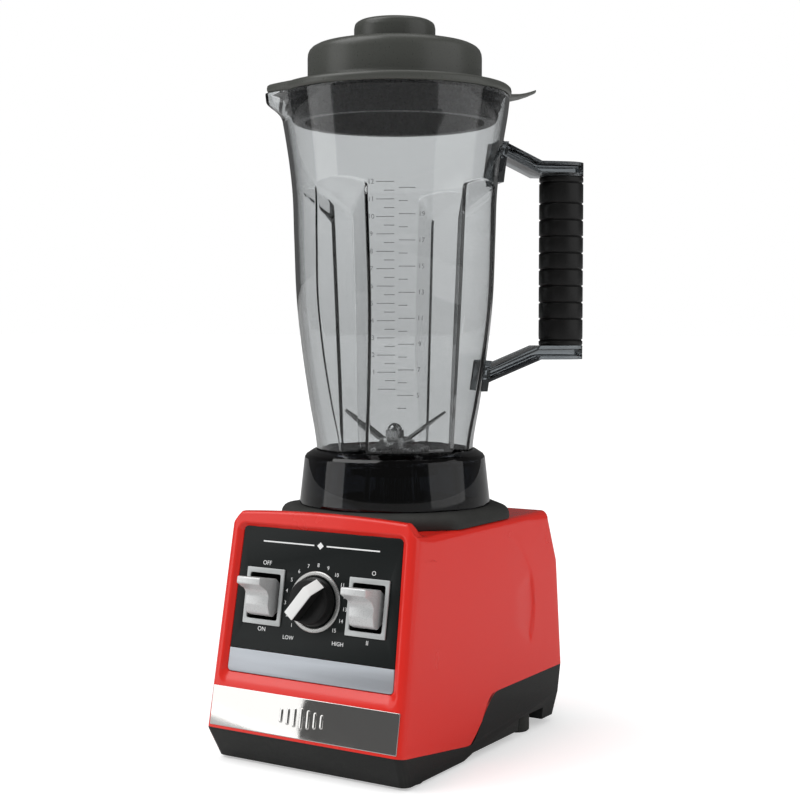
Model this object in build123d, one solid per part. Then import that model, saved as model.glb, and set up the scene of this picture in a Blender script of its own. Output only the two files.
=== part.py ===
from build123d import *
import os
from math import atan, cos, pi, radians, sin, sqrt, tan

# Countertop blender: a motor base with a jar, a lid and a filler cap stacked on one vertical axis.
# Millimetres, +Z up. The origin is on the motor axis, on the surface that the feet stand on.
# -Y is the control panel, +X is the user's right. The handle points to the right rear corner.

# ---- driving sizes: base -------------------------------------------------------------------------
wall = 3.0                    # housing and tray wall
base_width_top = 150.0        # across the housing at the crest
base_width_seam = 158.0       # across the housing at the front seam
base_width_floor = 153.0      # across the tray at its underside
front_foot_y = 122.2          # where the plane of the front face meets the floor
front_lean = 10.1             # degrees that the front face leans back
chin_setback = 10.5           # how far the tray's front runs in under the housing
crest_z = 171.0               # top of the raised front edge
crest_arch = 2.2              # how much the crest is higher in the middle than at its ends
crest_corner = 8.5            # slanted corners of the crest
crest_depth = 5.0             # flat top of the crest, front to back
deck_z = 159.0                # level top behind the crest
deck_front_y = -75.5
rear_top_y = 98.0
rear_shoulder = (111.0, 120.0)
rear_y = 115.0
rear_bottom_y = 104.0
tray_leg_z = 2.0              # underside of the tray between the front feet
tray_z = 5.0                  # underside of the tray behind them
arch_y = (-34.0, -22.0)       # where the underside steps up
seam_front_z = 23.5           # seam between housing and tray, at the front
chin_z = 22.4                 # where the front turns inwards, just under the seam
seam_low = (-24.0, 11.0)      # lowest point of the seam on the sides
seam_knee = (-5.0, 36.0)
seam_rear_z = 41.5
seam_soft = (5.0, 12.0)        # rounding of the seam at its lowest point and at the knee
corner_radius = 6.0           # upright corners of the base
deck_edge_radius = 3.5

# ---- driving sizes: control panel, measured up the slope of the front face -----------------------
panel_drop = 2.5              # how far the panel lies behind the front face
panel_bottom, panel_top = 62.6, 161.6
panel_half_low, panel_half_high = 66.6, 64.0
label_height = 15.8           # the silver strip along the bottom of the panel
panel_plate = 2.0
frame_ledge = 2.0             # housing material that the panel lies on
panel_corner = 3.0
bevel = 3.5                   # slanted surround of the panel
strip_bottom, strip_top = 25.2, 52.0
strip_half = 75.0
strip_plate = 1.2
strip_proud = 0.3
control_s = 115.0             # height of the switches and the knob, up the slope
switch_x = 41.8
bezel_size = (31.0, 38.0)
bezel_window = (25.5, 31.0)
bezel_plate = 1.2
switch_wall = 1.6
switch_depth = 24.0
lever_width = 19.0
lever_pivot = 6.0             # depth of the switch pivot behind the panel
lever_pin_radius = 1.5
lever_hub_radius = 6.5
# side view of a lever: (height over the panel, distance up the panel from its pivot)
lever_outline = [(-6.0, -8.0), (0.8, -13.2), (5.8, -11.8), (8.2, -6.0), (8.2, 0.6), (11.2, 4.2), (20.0, 7.6),
                 (20.0, 12.4), (1.0, 12.4), (-6.0, 8.0)]
dial_ring = (20.3, 17.2)      # outer and inner radius
dial_ring_plate = 1.2
knob_radius = 16.4
knob_top_radius = 15.0
knob_height = 9.5
knob_gap = 1.0                # between the knob's skirt and the panel
wing_width = 7.6
wing_height = 8.0
wing_cover = 1.0
knob_rest_angle = -143.0      # degrees clockwise from upright that the pointer end shows
pot_radius = 11.0
pot_depth = 10.0
pot_shaft_radius = 3.0

# ---- driving sizes: tray, feet, screws and rear fittings -----------------------------------------
case_screw_places = [(-64.5, -66.0), (64.5, -66.0), (-62.0, 89.5), (62.0, 89.5)]
case_boss_radius = 6.5
case_boss_z = 48.0            # where the posts of the housing meet those of the tray
case_screw_radius = 2.2       # hole in the tray's posts
case_screw_head = 4.2
case_screw_grip = 14.0
shaft_hole = 14.0
foot_radius = 10.0
foot_x = 65.0
front_feet_y, rear_feet_y = -87.0, 63.0
foot_web = 2.0                # rubber under the head of a foot's screw
foot_screw_radius = 1.6
foot_screw_head = 3.4
foot_screw_grip = 8.0
screw_head_height = 2.0
notch_y = (43.5, 82.0)
notch_z = 14.0
notch_x = 52.0
foot_inset = 3.0
vent_count = 16
vent_width = 3.4
gland_x, rear_fitting_z = -40.0, 24.0
gland_bore = 4.0
gland_radius = 8.0
gland_flange = 11.0
rear_boss_radius = 14.0
rear_boss_y = 113.0
reset_x = 40.0
reset_radius = 5.0
reset_body_radius = 9.0
board_z = 16.0
vent_reach = (16.0, 38.0)     # inner and outer end of the vents under the fan
rear_vents = 5                # upright slots in the rear wall
rear_vent_pitch = 8.0
rear_vent_z = (14.0, 34.0)
rear_wall_y = 98.0            # where the bosses of the rear fittings start
board_post = (3.5, 1.3)       # outer radius and pilot hole
board_posts = [(-30.0, -96.0), (30.0, -96.0), (-30.0, -62.0), (30.0, -62.0)]
brush_z = 54.0
commutator_radius = 12.0
commutator_z = (47.0, 61.0)
bolt_hole = 2.4
mount_screw_radius = 1.6
mount_post_height = 15.0

# ---- driving sizes: motor ------------------------------------------------------------------------
shaft_radius = 5.0
stator_radius = 45.0
stator_z = (74.0, 112.0)
armature_radius = 25.0
air_gap = 0.6
fan_radius = 40.0
fan_z = (17.0, 27.0)
lower_bearing_z = (36.0, 43.0)
upper_bearing_z = (124.0, 131.0)
bearing_radius = 11.0
bracket_plate = 3.5
bracket_half = 46.0           # mounting holes of the upper bracket
post_radius = 6.0
mount_height = 4.0

# ---- driving sizes: pad, collar, jar -------------------------------------------------------------
pad_half = 74.0               # half the width of the eight-sided rubber pad
pad_corner = 37.0             # where its corners start
pad_wall_z = 164.5
pad_top_z = 170.0
pad_slope = 9.0
pad_hole = 30.0
pad_boss = (59.5, 47.0)       # ring that the collar drops over
pad_boss_height = 8.0
collar_bottom_radius = 68.0
collar_top_radius = 64.3
collar_shoulder_z = 204.0
collar_lip_z = 208.5
collar_lip_radius = 57.5
collar_deck = 3.0
jar_wall = 3.0
jar_floor_z = 203.0
jar_floor = 4.0
jar_rim_z = 457.0
# outside of the jar from the floor up: (radius, height)
jar_outline = [(55.0, 203.0), (56.0, 214.0), (60.8, 243.0), (66.0, 279.0), (69.6, 314.0), (71.3, 357.0),
               (72.6, 392.0), (74.4, 409.0), (77.2, 428.0), (80.0, 445.0), (81.4, 457.0)]
flute_valley = ((46.8, 203.0), (55.5, 385.0))   # the inner line of each flute
flute_spread = 1.45           # half-width of a flute over its depth
flute_top = ((55.0, 372.0), (76.0, 398.0))      # slanted upper end of a flute
flute_count = 4
spout_angle = 225.0
spout_tip = 91.5
spout_half = 19.0
spout_depth = 20.0
handle_angle = 45.0
handle_reach = 140.5
grip_radial = 32.6
grip_across = 28.0
grip_z = (285.6, 399.4)
grip_groove_pitch = 11.93
grip_grooves = 8
grip_groove = (0.8, 0.9)      # width and depth of a groove
grip_core = (15.0, 10.0)      # bar of the frame inside the grip
arm_height = 10.0
arm_width = 28.0
arm_flange = 2.4
arm_web = 4.0
upper_arm_z = 414.0           # top of the upper arm at the grip
upper_arm_root = (76.0, 427.5)
lower_arm_z = 271.6           # bottom of the lower arm at the grip
lower_arm_root = (62.0, 253.0)
arm_bend = 105.0
bracket_foot_z = 398.0        # lower end of the arm's mounting plate on the jar

# ---- driving sizes: blade unit -------------------------------------------------------------------
blade_shaft_radius = 4.0
blade_radius = 38.0
blade_hub_z = 213.5
blade_plate = 1.6
blade_hub_radius = 11.0
housing_flange = (25.0, 2.6)
housing_body_radius = 17.0
nut_radius = 31.0
nut_z = (190.5, 200.0)
ball_bearing = (11.0, 6.0)    # outer radius and width
socket_radius = 14.0
socket_z = (171.0, 190.4)
spline_count = 12
spline_outer = 9.5
spline_inner = 7.8
spline_clearance = 0.35
coupling_z = (161.5, 183.5)

# ---- driving sizes: lid --------------------------------------------------------------------------
lid_flange_radius = 82.4
lid_flange_top = 463.0
lid_dome_radius = 61.5
lid_dome_top = 494.0
lid_wall = 3.0
lid_edge = 7.0
skirt_bottom_z = 438.0
skirt_bottom_radius = 72.0
skirt_thick = 9.0
filler_radius = 22.0
cap_radius = 28.7
cap_top_z = 510.0
cap_plug_depth = 22.0
tab_reach = 99.0
tab_half = 14.0

clearance = 0.3               # between pieces that come apart or move
running = 0.05                # between a shaft and its bearing

# ---- values worked out from them -----------------------------------------------------------------
front_foot_top = tray_leg_z + foot_inset
rear_foot_top = notch_z
floor_top = tray_z + wall
case_screw_seat = floor_top + 6
mount_top = deck_z - wall - mount_post_height                 # underside of the housing's posts
bracket_top = mount_top - mount_height
lean = radians(front_lean)
front = Plane(origin=(0, -front_foot_y + panel_drop / cos(lean), 0), x_dir=(1, 0, 0),
              z_dir=(0, -cos(lean), sin(lean)))
bottom = (Align.CENTER, Align.CENTER, Align.MIN)
parts = {}


def front_y(z):
    """The front face's place at a height."""
    return -front_foot_y + z * tan(lean)


def rod(radius, z0, z1, x=0.0, y=0.0):
    return Pos(x, y, z0) * Cylinder(radius, z1 - z0, align=bottom)


def ring(outer, inner, z0, z1, x=0.0, y=0.0):
    return rod(outer, z0, z1, x, y) - rod(inner, z0 - 1, z1 + 1, x, y)


def block(x0, x1, y0, y1, z0, z1):
    return Pos((x0 + x1) / 2, (y0 + y1) / 2, (z0 + z1) / 2) * Box(abs(x1 - x0), y1 - y0, z1 - z0)


def turned(points):
    """A solid of revolution about the motor axis from (radius, height) points."""
    return revolve(Plane.XZ * Polygon(*points, align=None), Axis.Z)


def on_panel(shape, x=0.0, s=0.0, depth=0.0):
    """Places a shape modelled at the origin on the control panel: x across, s up the slope, depth outwards."""
    return front.location * Pos(x, s, depth) * shape


def save(name, shape):
    parts[name] = shape


# ---- base envelope, housing and tray -------------------------------------------------------------
def envelope(inset):
    """The outside of the base, moved inwards by inset."""
    crest_y = front_y(crest_z)
    side = Polygon(
        (front_y(chin_z), chin_z), (crest_y, crest_z), (crest_y + crest_depth, crest_z),
        (deck_front_y, deck_z), (rear_top_y - 5, deck_z), (rear_top_y, deck_z - 5), rear_shoulder,
        (rear_y, seam_rear_z), (rear_bottom_y, tray_z), (arch_y[1], tray_z), (arch_y[0], tray_leg_z),
        (front_y(chin_z) + chin_setback, tray_leg_z), align=None)
    half_top, half_seam, half_floor = base_width_top / 2, base_width_seam / 2, base_width_floor / 2
    end_z = crest_z - crest_arch
    left = Line((-half_top, end_z - crest_corner), (-half_top + crest_corner, end_z))
    top = ThreePointArc((-half_top + crest_corner, end_z), (0, crest_z), (half_top - crest_corner, end_z))
    right = Polyline((half_top - crest_corner, end_z), (half_top, end_z - crest_corner),
                     (half_seam, chin_z), (half_floor, tray_leg_z), (-half_floor, tray_leg_z),
                     (-half_seam, chin_z), (-half_top, end_z - crest_corner))
    face = make_face(left + top + right)
    if inset:
        side = offset(side, -inset, kind=Kind.INTERSECTION)
        face = offset(face, -inset, kind=Kind.INTERSECTION)
    along = extrude(Plane.YZ * side, base_width_seam, both=True)
    across = extrude(Plane.XZ * face, 2 * rear_y, both=True)
    body = along & across
    upright = [e for e in body.edges()
               if abs((e @ 0).Z - (e @ 1).Z) > 0.6 * e.length and abs((e @ 0.5).X) > 0.4 * base_width_top]
    return fillet(upright, max(corner_radius - inset, 1.5))


def below_seam():
    points = [(-2 * front_foot_y, seam_front_z), (front_y(seam_front_z), seam_front_z), seam_low, seam_knee,
              (seam_knee[0] + 7, seam_rear_z), (2 * rear_y, seam_rear_z), (2 * rear_y, -50),
              (-2 * front_foot_y, -50)]
    face = Polygon(*points, align=None)
    for corner, radius in ((points[2], seam_soft[0]), (points[3], seam_soft[1]), (points[4], seam_soft[1])):
        at = [v for v in face.vertices() if abs(v.X - corner[0]) < 0.01 and abs(v.Y - corner[1]) < 0.01]
        face = fillet(at, radius)
    return extrude(Plane.YZ * face, base_width_seam, both=True)


def panel_outline(s0, s1, grow=0.0):
    """The tapered outline of the panel between two heights, on the panel plane."""
    def half(s):
        share = (s - panel_bottom) / (panel_top - panel_bottom)
        return panel_half_low + (panel_half_high - panel_half_low) * share + grow
    return Polygon((-half(s0), s0), (half(s0), s0), (half(s1), s1), (-half(s1), s1), align=None)


envelope_outer = envelope(0)
envelope_inner = envelope(wall)
seam_cut = below_seam()
frame_back = panel_plate + frame_ledge
bracket_reach = sqrt(2) * bracket_half + 2
post_places = [(sx * bracket_half, sy * bracket_half) for sx in (-1, 1) for sy in (-1, 1)]
def make_housing():
    shell = envelope_outer - envelope_inner
    backing = on_panel(extrude(panel_outline(panel_bottom - 6, panel_top + 3, 5), frame_back - 0.4),
                       depth=-frame_back)
    shell = shell + (backing & envelope_outer)
    shell = shell - seam_cut
    recess = extrude(panel_outline(panel_bottom - clearance, panel_top + clearance, clearance), 20)
    recess = fillet(recess.edges().filter_by(Axis.Z), panel_corner)
    shell = shell - on_panel(recess, depth=-panel_plate)
    low = panel_outline(panel_bottom - 1, panel_top + 1, 1)
    high = panel_outline(panel_bottom - 1 - bevel, panel_top + 1 + 0.6 * bevel, 1 + bevel)
    surround = loft([Pos(0, 0, 0.4) * low, Pos(0, 0, panel_drop + 0.01) * high])
    shell = shell - on_panel(surround)
    shell = shell - on_panel(Pos(0, 0, -frame_back) * block(-58, 58, 84, 146, -1, 10))
    strip_pocket = block(-strip_half - 0.2, strip_half + 0.2, strip_bottom - 0.2, strip_top + 0.2, 0, 5)
    shell = shell - on_panel(strip_pocket, depth=panel_drop + strip_proud - strip_plate)
    shell = shell - rod(shaft_hole, deck_z - 2 * wall, deck_z + 1)
    for x, y in post_places:
        post = rod(post_radius, mount_top, deck_z - wall, x, y)
        shell = shell + (post - rod(mount_screw_radius, mount_top - 1, mount_top + 12, x, y))
    for x, y in case_screw_places:
        post = rod(case_boss_radius, case_boss_z, deck_z - wall / 2, x, y) & envelope_outer
        shell = shell + (post - rod(case_screw_radius - clearance, case_boss_z - 1,
                                    case_boss_z + case_screw_grip + 2, x, y))
    flats = [e for e in shell.edges() if e.geom_type == GeomType.LINE and abs((e @ 0.5).Z - deck_z) < 0.1
             and abs(abs((e @ 0.5).X) - base_width_top / 2) < 3 and e.length > 60]
    return fillet(flats, min(deck_edge_radius, wall)) if flats else shell


def make_tray():
    body = envelope_outer & seam_cut
    pockets = [block(sx * notch_x, sx * 90, notch_y[0], notch_y[1], -1, notch_z) for sx in (-1, 1)]
    pocket_walls = [block(sx * (notch_x - wall), sx * 90, notch_y[0] - wall, notch_y[1] + wall, tray_z,
                          notch_z + wall) for sx in (-1, 1)]
    hollow = (envelope_inner & seam_cut) - block(-200, 200, -200, 200, -50, floor_top)
    tray = body - hollow
    for pocket_wall in pocket_walls:
        tray = tray + (pocket_wall & envelope_outer)
    for pocket in pockets:
        tray = tray - pocket
    for x, y in case_screw_places:
        boss = rod(case_boss_radius, floor_top - 1, case_boss_z, x, y) & envelope_inner
        tray = tray + boss
        tray = tray - rod(case_screw_radius, 0, case_boss_z + 1, x, y)
        tray = tray - rod(case_screw_head, 0, case_screw_seat, x, y)
    for y, top in ((front_feet_y, front_foot_top), (rear_feet_y, rear_foot_top)):
        for x in (-foot_x, foot_x):
            boss = rod(foot_screw_radius + wall, top, top + foot_screw_grip + 2, x, y)
            tray = tray + (boss & envelope_outer)
            tray = tray - rod(foot_screw_radius, top - 1, top + foot_screw_grip, x, y)
    for x in (-foot_x, foot_x):
        tray = tray - rod(foot_radius + clearance / 2, 0, front_foot_top, x, front_feet_y)
    for i in range(vent_count):
        slot = block(*vent_reach, -vent_width / 2, vent_width / 2, 0, floor_top + 1)
        tray = tray - Rot(0, 0, i * 360 / vent_count) * slot
    for i in range(rear_vents):
        x = (i - (rear_vents - 1) / 2) * rear_vent_pitch
        tray = tray - block(x - vent_width / 2, x + vent_width / 2, rear_wall_y - wall, 130, *rear_vent_z)
    for x in (gland_x, reset_x):
        boss = Pos(x, 0, rear_fitting_z) * Rot(-90, 0, 0) * rod(rear_boss_radius, rear_wall_y, rear_boss_y)
        tray = tray + (boss - (envelope_inner - block(-90, 90, rear_wall_y, 200, 0, 100)))
    through = {gland_x: gland_radius, reset_x: reset_body_radius}
    for x, radius in through.items():
        tray = tray - Pos(x, 0, rear_fitting_z) * Rot(-90, 0, 0) * rod(radius, 90, 130)
    for x, y in board_posts:
        post = rod(board_post[0], floor_top - 1, board_z, x, y)
        tray = tray + (post - rod(board_post[1], floor_top + 1, board_z + 1, x, y))
    return tray


def make_feet():
    screws, feet = [], []
    for y, top in ((front_feet_y, front_foot_top), (rear_feet_y, rear_foot_top)):
        seat = max(top - foot_web, screw_head_height + 0.6)
        for x in (-foot_x, foot_x):
            foot = rod(foot_radius, 0, top, x, y)
            foot = chamfer(foot.edges().group_by(Axis.Z)[0], 1.0)
            foot = foot - rod(foot_screw_head + clearance, -1, seat, x, y)
            feet.append(foot - rod(foot_screw_radius + clearance, -1, top + 1, x, y))
            head = rod(foot_screw_head, seat - screw_head_height, seat, x, y)
            screws.append(head + rod(foot_screw_radius, seat, top + foot_screw_grip, x, y))
    save("feet", Compound(children=feet))
    save("foot_screws", Compound(children=screws))
    case_screws = []
    for x, y in case_screw_places:
        shank = rod(case_screw_radius - clearance, case_screw_seat, case_boss_z + case_screw_grip, x, y)
        head = rod(case_screw_head - clearance, case_screw_seat - screw_head_height, case_screw_seat, x, y)
        case_screws.append(head + shank)
    save("case_screws", Compound(children=case_screws))


# ---- control panel -------------------------------------------------------------------------------
def make_panel():
    split = panel_bottom + label_height
    plate = extrude(panel_outline(split + 0.1, panel_top), panel_plate)
    high = plate.edges().filter_by(Axis.Z).group_by(Axis.Y)[-1]
    plate = fillet(high, panel_corner)
    hole = (bezel_window[0] + 2 * switch_wall + 0.6, bezel_window[1] + 2 * switch_wall + 0.6)
    for x in (-switch_x, switch_x):
        plate = plate - Pos(x, control_s, panel_plate / 2) * Box(hole[0], hole[1], 3 * panel_plate)
    plate = plate - Pos(0, control_s, 0) * Cylinder(4.6, 20)
    save("control_panel", on_panel(plate, depth=-panel_plate))
    label = extrude(panel_outline(panel_bottom, split - 0.1), panel_plate)
    low = label.edges().filter_by(Axis.Z).group_by(Axis.Y)[0]
    save("label_plate", on_panel(fillet(low, panel_corner), depth=-panel_plate))
    strip = block(-strip_half, strip_half, strip_bottom, strip_top, 0, strip_plate)
    strip = chamfer(strip.edges().group_by(Axis.Z)[-1], 0.3)
    save("trim_strip", on_panel(strip, depth=panel_drop + strip_proud - strip_plate))


lever_plane = Plane(origin=(0, 0, 0), x_dir=(0, 0, 1), z_dir=(-1, 0, 0))


def lever_prism(points, width):
    """A prism across the switch from (outwards, up) points."""
    return extrude(lever_plane * Polygon(*points, align=None), width / 2, both=True)


switch_pins = []


def make_switch(name, x):
    window_w, window_h = bezel_window
    bezel = Box(bezel_size[0], bezel_size[1], bezel_plate, align=bottom) - Box(window_w, window_h, 10)
    bezel = fillet(bezel.edges().filter_by(Axis.Z).group_by(SortBy.LENGTH)[0], 0.6)
    save(name + "_switch_bezel", on_panel(bezel, x, control_s))
    outer_w, outer_h = window_w + 2 * switch_wall, window_h + 2 * switch_wall
    body = Pos(0, 0, -switch_depth) * Box(outer_w, outer_h, switch_depth, align=bottom)
    body = body - Pos(0, 0, -switch_depth + 5) * Box(window_w, window_h, switch_depth, align=bottom)
    body = body - Pos(0, 0, -lever_pivot) * Rot(0, 90, 0) * Cylinder(lever_pin_radius, outer_w + 2)
    for side in (-1, 1):
        for row in (-8, 0, 8):
            body = body + Pos(side * 5, row, -switch_depth - 7) * Box(0.8, 4.8, 8, align=bottom)
    save(name + "_switch_body", on_panel(body, x, control_s))
    pin = Pos(0, 0, -lever_pivot) * Rot(0, 90, 0) * Cylinder(lever_pin_radius, outer_w)
    switch_pins.append(on_panel(pin, x, control_s))
    lever = lever_prism(lever_outline, lever_width)
    lever = lever + Pos(0, 0, -lever_pivot) * Rot(0, 90, 0) * Cylinder(lever_hub_radius, lever_width)
    lever = lever - Pos(0, 0, -lever_pivot) * Rot(0, 90, 0) * Cylinder(lever_pin_radius + running, 2 * outer_w)
    save(name + "_switch_lever", on_panel(lever, x, control_s))


def make_knob():
    outer, inner = dial_ring
    trim = Cylinder(outer, dial_ring_plate, align=bottom) - Cylinder(inner, 10)
    trim = chamfer(trim.edges().group_by(Axis.Z)[-1], 0.4)
    save("dial_ring", on_panel(trim, 0, control_s))
    body = Pos(0, 0, -frame_back - pot_depth) * Cylinder(pot_radius, pot_depth, align=bottom)
    body = body + Pos(0, 0, -frame_back) * Cylinder(4.4, frame_back + 2.6, align=bottom)
    body = body - Pos(0, 0, -frame_back - pot_depth + 2) * Cylinder(pot_shaft_radius + running, 40, align=bottom)
    for column in (-5, 0, 5):
        body = body + Pos(column, -pot_radius - 2, -frame_back - 3) * Box(2, 6, 0.8)
    save("potentiometer", on_panel(body, 0, control_s))
    nut = extrude(RegularPolygon(7, 6), 2.2) - Cylinder(4.45, 10)
    save("potentiometer_nut", on_panel(nut, 0, control_s))
    turn = Pos(0, control_s, 0) * Rot(0, 0, -knob_rest_angle)
    body = loft([Pos(0, 0, knob_gap) * Circle(knob_radius), Pos(0, 0, knob_height) * Circle(knob_top_radius)])
    body = fillet(body.edges().group_by(Axis.Z)[-1], 0.8)
    top = knob_height + wing_height
    reach = knob_top_radius
    plane = Plane(origin=(0, 0, 0), x_dir=(0, 1, 0), z_dir=(1, 0, 0))
    profile = [(-reach - 0.6, knob_height - 3), (-reach - 0.6, knob_height + 0.5), (-0.55 * reach, top),
               (0.86 * reach, top), (reach, knob_height - 3)]
    wing = extrude(plane * Polygon(*profile, align=None), wing_width / 2, both=True)
    cover = [(-reach - 0.6, knob_height + 0.5), (-0.55 * reach, top), (0.86 * reach, top),
             (0.86 * reach + 0.1, top + wing_cover), (-0.55 * reach - 0.4, top + wing_cover),
             (-reach - 1.3, knob_height + 0.9)]
    cap = extrude(plane * Polygon(*cover, align=None), wing_width / 2, both=True)
    body = body + wing
    body = body - Pos(0, 0, 0) * Cylinder(9.5, 4.0, align=bottom)
    body = body - Cylinder(pot_shaft_radius, 13.0, align=bottom)
    save("speed_knob", front.location * turn * body)
    save("knob_cover", front.location * turn * cap)
    stem = Pos(0, 0, -frame_back - pot_depth + 2.2) * Cylinder(pot_shaft_radius, 13 + frame_back + pot_depth - 2.2,
                                                            align=bottom)
    save("knob_shaft", on_panel(stem, 0, control_s))


# ---- electrics at the rear and under the panel -----------------------------------------------------
def make_electrics():
    def along_y(shape, x):
        return Pos(x, 0, rear_fitting_z) * Rot(-90, 0, 0) * shape
    gland = rod(gland_radius, 96, rear_boss_y) + rod(gland_flange, rear_boss_y, rear_boss_y + 3)
    gland = gland - rod(gland_bore, 90, 130)
    save("cord_gland", along_y(gland, gland_x))
    holder = ring(reset_body_radius, reset_radius + clearance, 88, rear_boss_y)
    holder = holder + ring(gland_flange, reset_radius + clearance, rear_boss_y, rear_boss_y + 2)
    holder = holder + rod(reset_body_radius, 84, 88.5)
    save("overload_breaker", along_y(holder, reset_x))
    button = rod(reset_radius, 98, rear_boss_y + 5) + rod(2.5, 92, 98)
    button = fillet(button.edges().group_by(Axis.Z)[-1], 1.0)
    save("reset_button", along_y(button, reset_x))
    board = block(-36, 36, -100, -58, board_z, board_z + 1.6)
    for x, y in board_posts:
        board = board - rod(1.6, board_z - 1, board_z + 3, x, y)
    for x, width, height in ((-14, 12, 14), (2, 9, 9), (14, 7, 11)):
        board = board + block(x - width / 2, x + width / 2, -94, -80, board_z + 1.5, board_z + height)
    save("control_board", board)


# ---- motor -----------------------------------------------------------------------------------------
def make_motor():
    low, high = stator_z
    bore = armature_radius + air_gap
    core = ring(stator_radius, bore, low, high)
    for sx in (-1, 1):
        window = block(sx * (bore - 3), sx * (stator_radius - 9), -13, 13, low - 1, high + 1)
        core = core - window
    bolt_places = [(0, stator_radius - 5.5), (0, -stator_radius + 5.5)]
    for x, y in bolt_places:
        core = core - rod(bolt_hole, low - 1, high + 1, x, y)
    save("stator_core", core)
    coils = []
    for z0, z1 in ((low - 10, low), (high, high + 10)):
        coil = ring(stator_radius - 8, bore + 1.5, z0, z1)
        gap = block(-6, 6, -60, 60, z0 - 1, z1 + 1)
        coils += list((coil - gap).solids())
    save("field_windings", Compound(children=coils))
    plate = Pos(0, 0, bracket_top - bracket_plate) * extrude(RectangleRounded(2 * bracket_half + 16,
                                                                            2 * bracket_half + 16, 10), bracket_plate)
    upper = plate - ring(200, bracket_reach, bracket_top - 10, bracket_top + 5)
    for angle in (45, 135, 225, 315):
        upper = upper - Rot(0, 0, angle) * rod(13, bracket_top - 10, bracket_top + 5, 36, 0)
    upper = upper + rod(bearing_radius + 4, upper_bearing_z[0] - 1, bracket_top)
    upper = upper - rod(bearing_radius, upper_bearing_z[0] - 2, upper_bearing_z[1])
    upper = upper - rod(shaft_radius + 1.5, upper_bearing_z[0] - 2, bracket_top + 1)
    for x, y in post_places:
        upper = upper - rod(bolt_hole, bracket_top - 10, bracket_top + 5, x, y)
    for x, y in bolt_places:
        leg = rod(5, high, bracket_top - bracket_plate, x, y)
        upper = (upper + leg) - rod(bolt_hole, high - 1, bracket_top + 1, x, y)
    save("upper_motor_bracket", upper)
    lower_plate_z = lower_bearing_z[0]
    lower = block(-9, 9, -stator_radius, stator_radius, lower_plate_z, lower_plate_z + bracket_plate)
    lower = lower + rod(bearing_radius + 4, lower_plate_z, lower_bearing_z[1] + 1)
    lower = lower + block(-34, 34, -8, 8, lower_plate_z, lower_plate_z + bracket_plate)
    lower = lower - rod(bearing_radius, lower_bearing_z[0] + 0.01, lower_bearing_z[1] + 2)
    lower = lower - rod(shaft_radius + 1.5, 0, 60)
    for x, y in bolt_places:
        leg = rod(5, lower_plate_z, low, x, y)
        lower = (lower + leg) - rod(bolt_hole, lower_plate_z - 1, low + 1, x, y)
    for sx in (-1, 1):
        lower = lower + block(sx * 20, sx * 34, -7, 7, lower_plate_z, brush_z + 5)
        lower = lower - block(sx * 13.5, sx * 32, -3.05, 3.05, brush_z - 2.05, brush_z + 2.05)
    save("lower_motor_bracket", lower)
    bolts = []
    for x, y in bolt_places:
        bolts.append(rod(2.1, lower_plate_z, bracket_top + 2, x, y) + rod(4, lower_plate_z - 3, lower_plate_z, x, y))
    save("motor_bolts", Compound(children=bolts))
    brushes = [block(sx * (commutator_radius + 0.1), sx * 30, -3, 3, brush_z - 2, brush_z + 2) for sx in (-1, 1)]
    save("carbon_brushes", Compound(children=brushes))
    bearings = [ring(bearing_radius - 0.02, shaft_radius + running, z0 + 0.02, z1)
                for z0, z1 in (lower_bearing_z, upper_bearing_z)]
    save("motor_bearings", Compound(children=bearings))
    mounts, screws = [], []
    for x, y in post_places:
        mounts.append(ring(post_radius + 1, 2.6, bracket_top, mount_top, x, y))
        head = bracket_top - bracket_plate
        screws.append(rod(4, head - 3, head, x, y) + rod(mount_screw_radius - 0.1, head, mount_top + 11, x, y))
    save("motor_mounts", Compound(children=mounts))
    save("motor_mount_screws", Compound(children=screws))


def spline_section(outer, inner, grow):
    """A gear-like outline with equal teeth and gaps."""
    points = []
    step = 2 * pi / spline_count
    for i in range(spline_count):
        for radius, share in ((inner, -0.30), (outer, -0.19), (outer, 0.19), (inner, 0.30)):
            angle = (i + share) * step + (grow / radius if share > 0 else -grow / radius)
            points.append(((radius + grow) * cos(angle), (radius + grow) * sin(angle)))
    return Polygon(*points, align=None)


def make_rotor():
    save("motor_shaft", rod(shaft_radius, fan_z[0] - 3, coupling_z[0] + 14))
    low, high = stator_z
    core = ring(armature_radius, shaft_radius, low, high)
    for i in range(12):
        core = core - Rot(0, 0, i * 30) * block(armature_radius - 2.5, armature_radius + 2, -1, 1, low - 1, high + 1)
    save("armature_core", core)
    coils = []
    for z0, z1 in ((low - 9, low), (high, high + 7)):
        coil = ring(armature_radius - 3, shaft_radius + 3, z0, z1)
        coils.append(fillet(coil.edges().filter_by(GeomType.CIRCLE).group_by(SortBy.LENGTH)[-1], 2.5))
    save("armature_windings", Compound(children=coils))
    save("commutator", ring(commutator_radius, shaft_radius, *commutator_z))
    fan = ring(9, shaft_radius, *fan_z) + ring(fan_radius, shaft_radius, fan_z[0], fan_z[0] + 1.8)
    for i in range(11):
        vane = block(8, fan_radius - 1, -0.9, 0.9, fan_z[0] + 1, fan_z[1])
        fan = fan + Rot(0, 0, i * 360 / 11) * vane
    save("cooling_fan", fan)
    z0, z1 = coupling_z
    stub = extrude(Pos(0, 0, z0) * spline_section(spline_outer, spline_inner, 0), z1 - z0)
    stub = stub + rod(spline_outer + 2.5, z0, z0 + 6)
    stub = stub & (rod(spline_outer + 5, z0, z1 - 4) + Pos(0, 0, z1 - 4) * Cone(spline_outer + 1, spline_outer - 2, 4,
                                                                               align=bottom))
    save("drive_coupling", stub - rod(shaft_radius, z0 - 1, z0 + 14))


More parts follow.
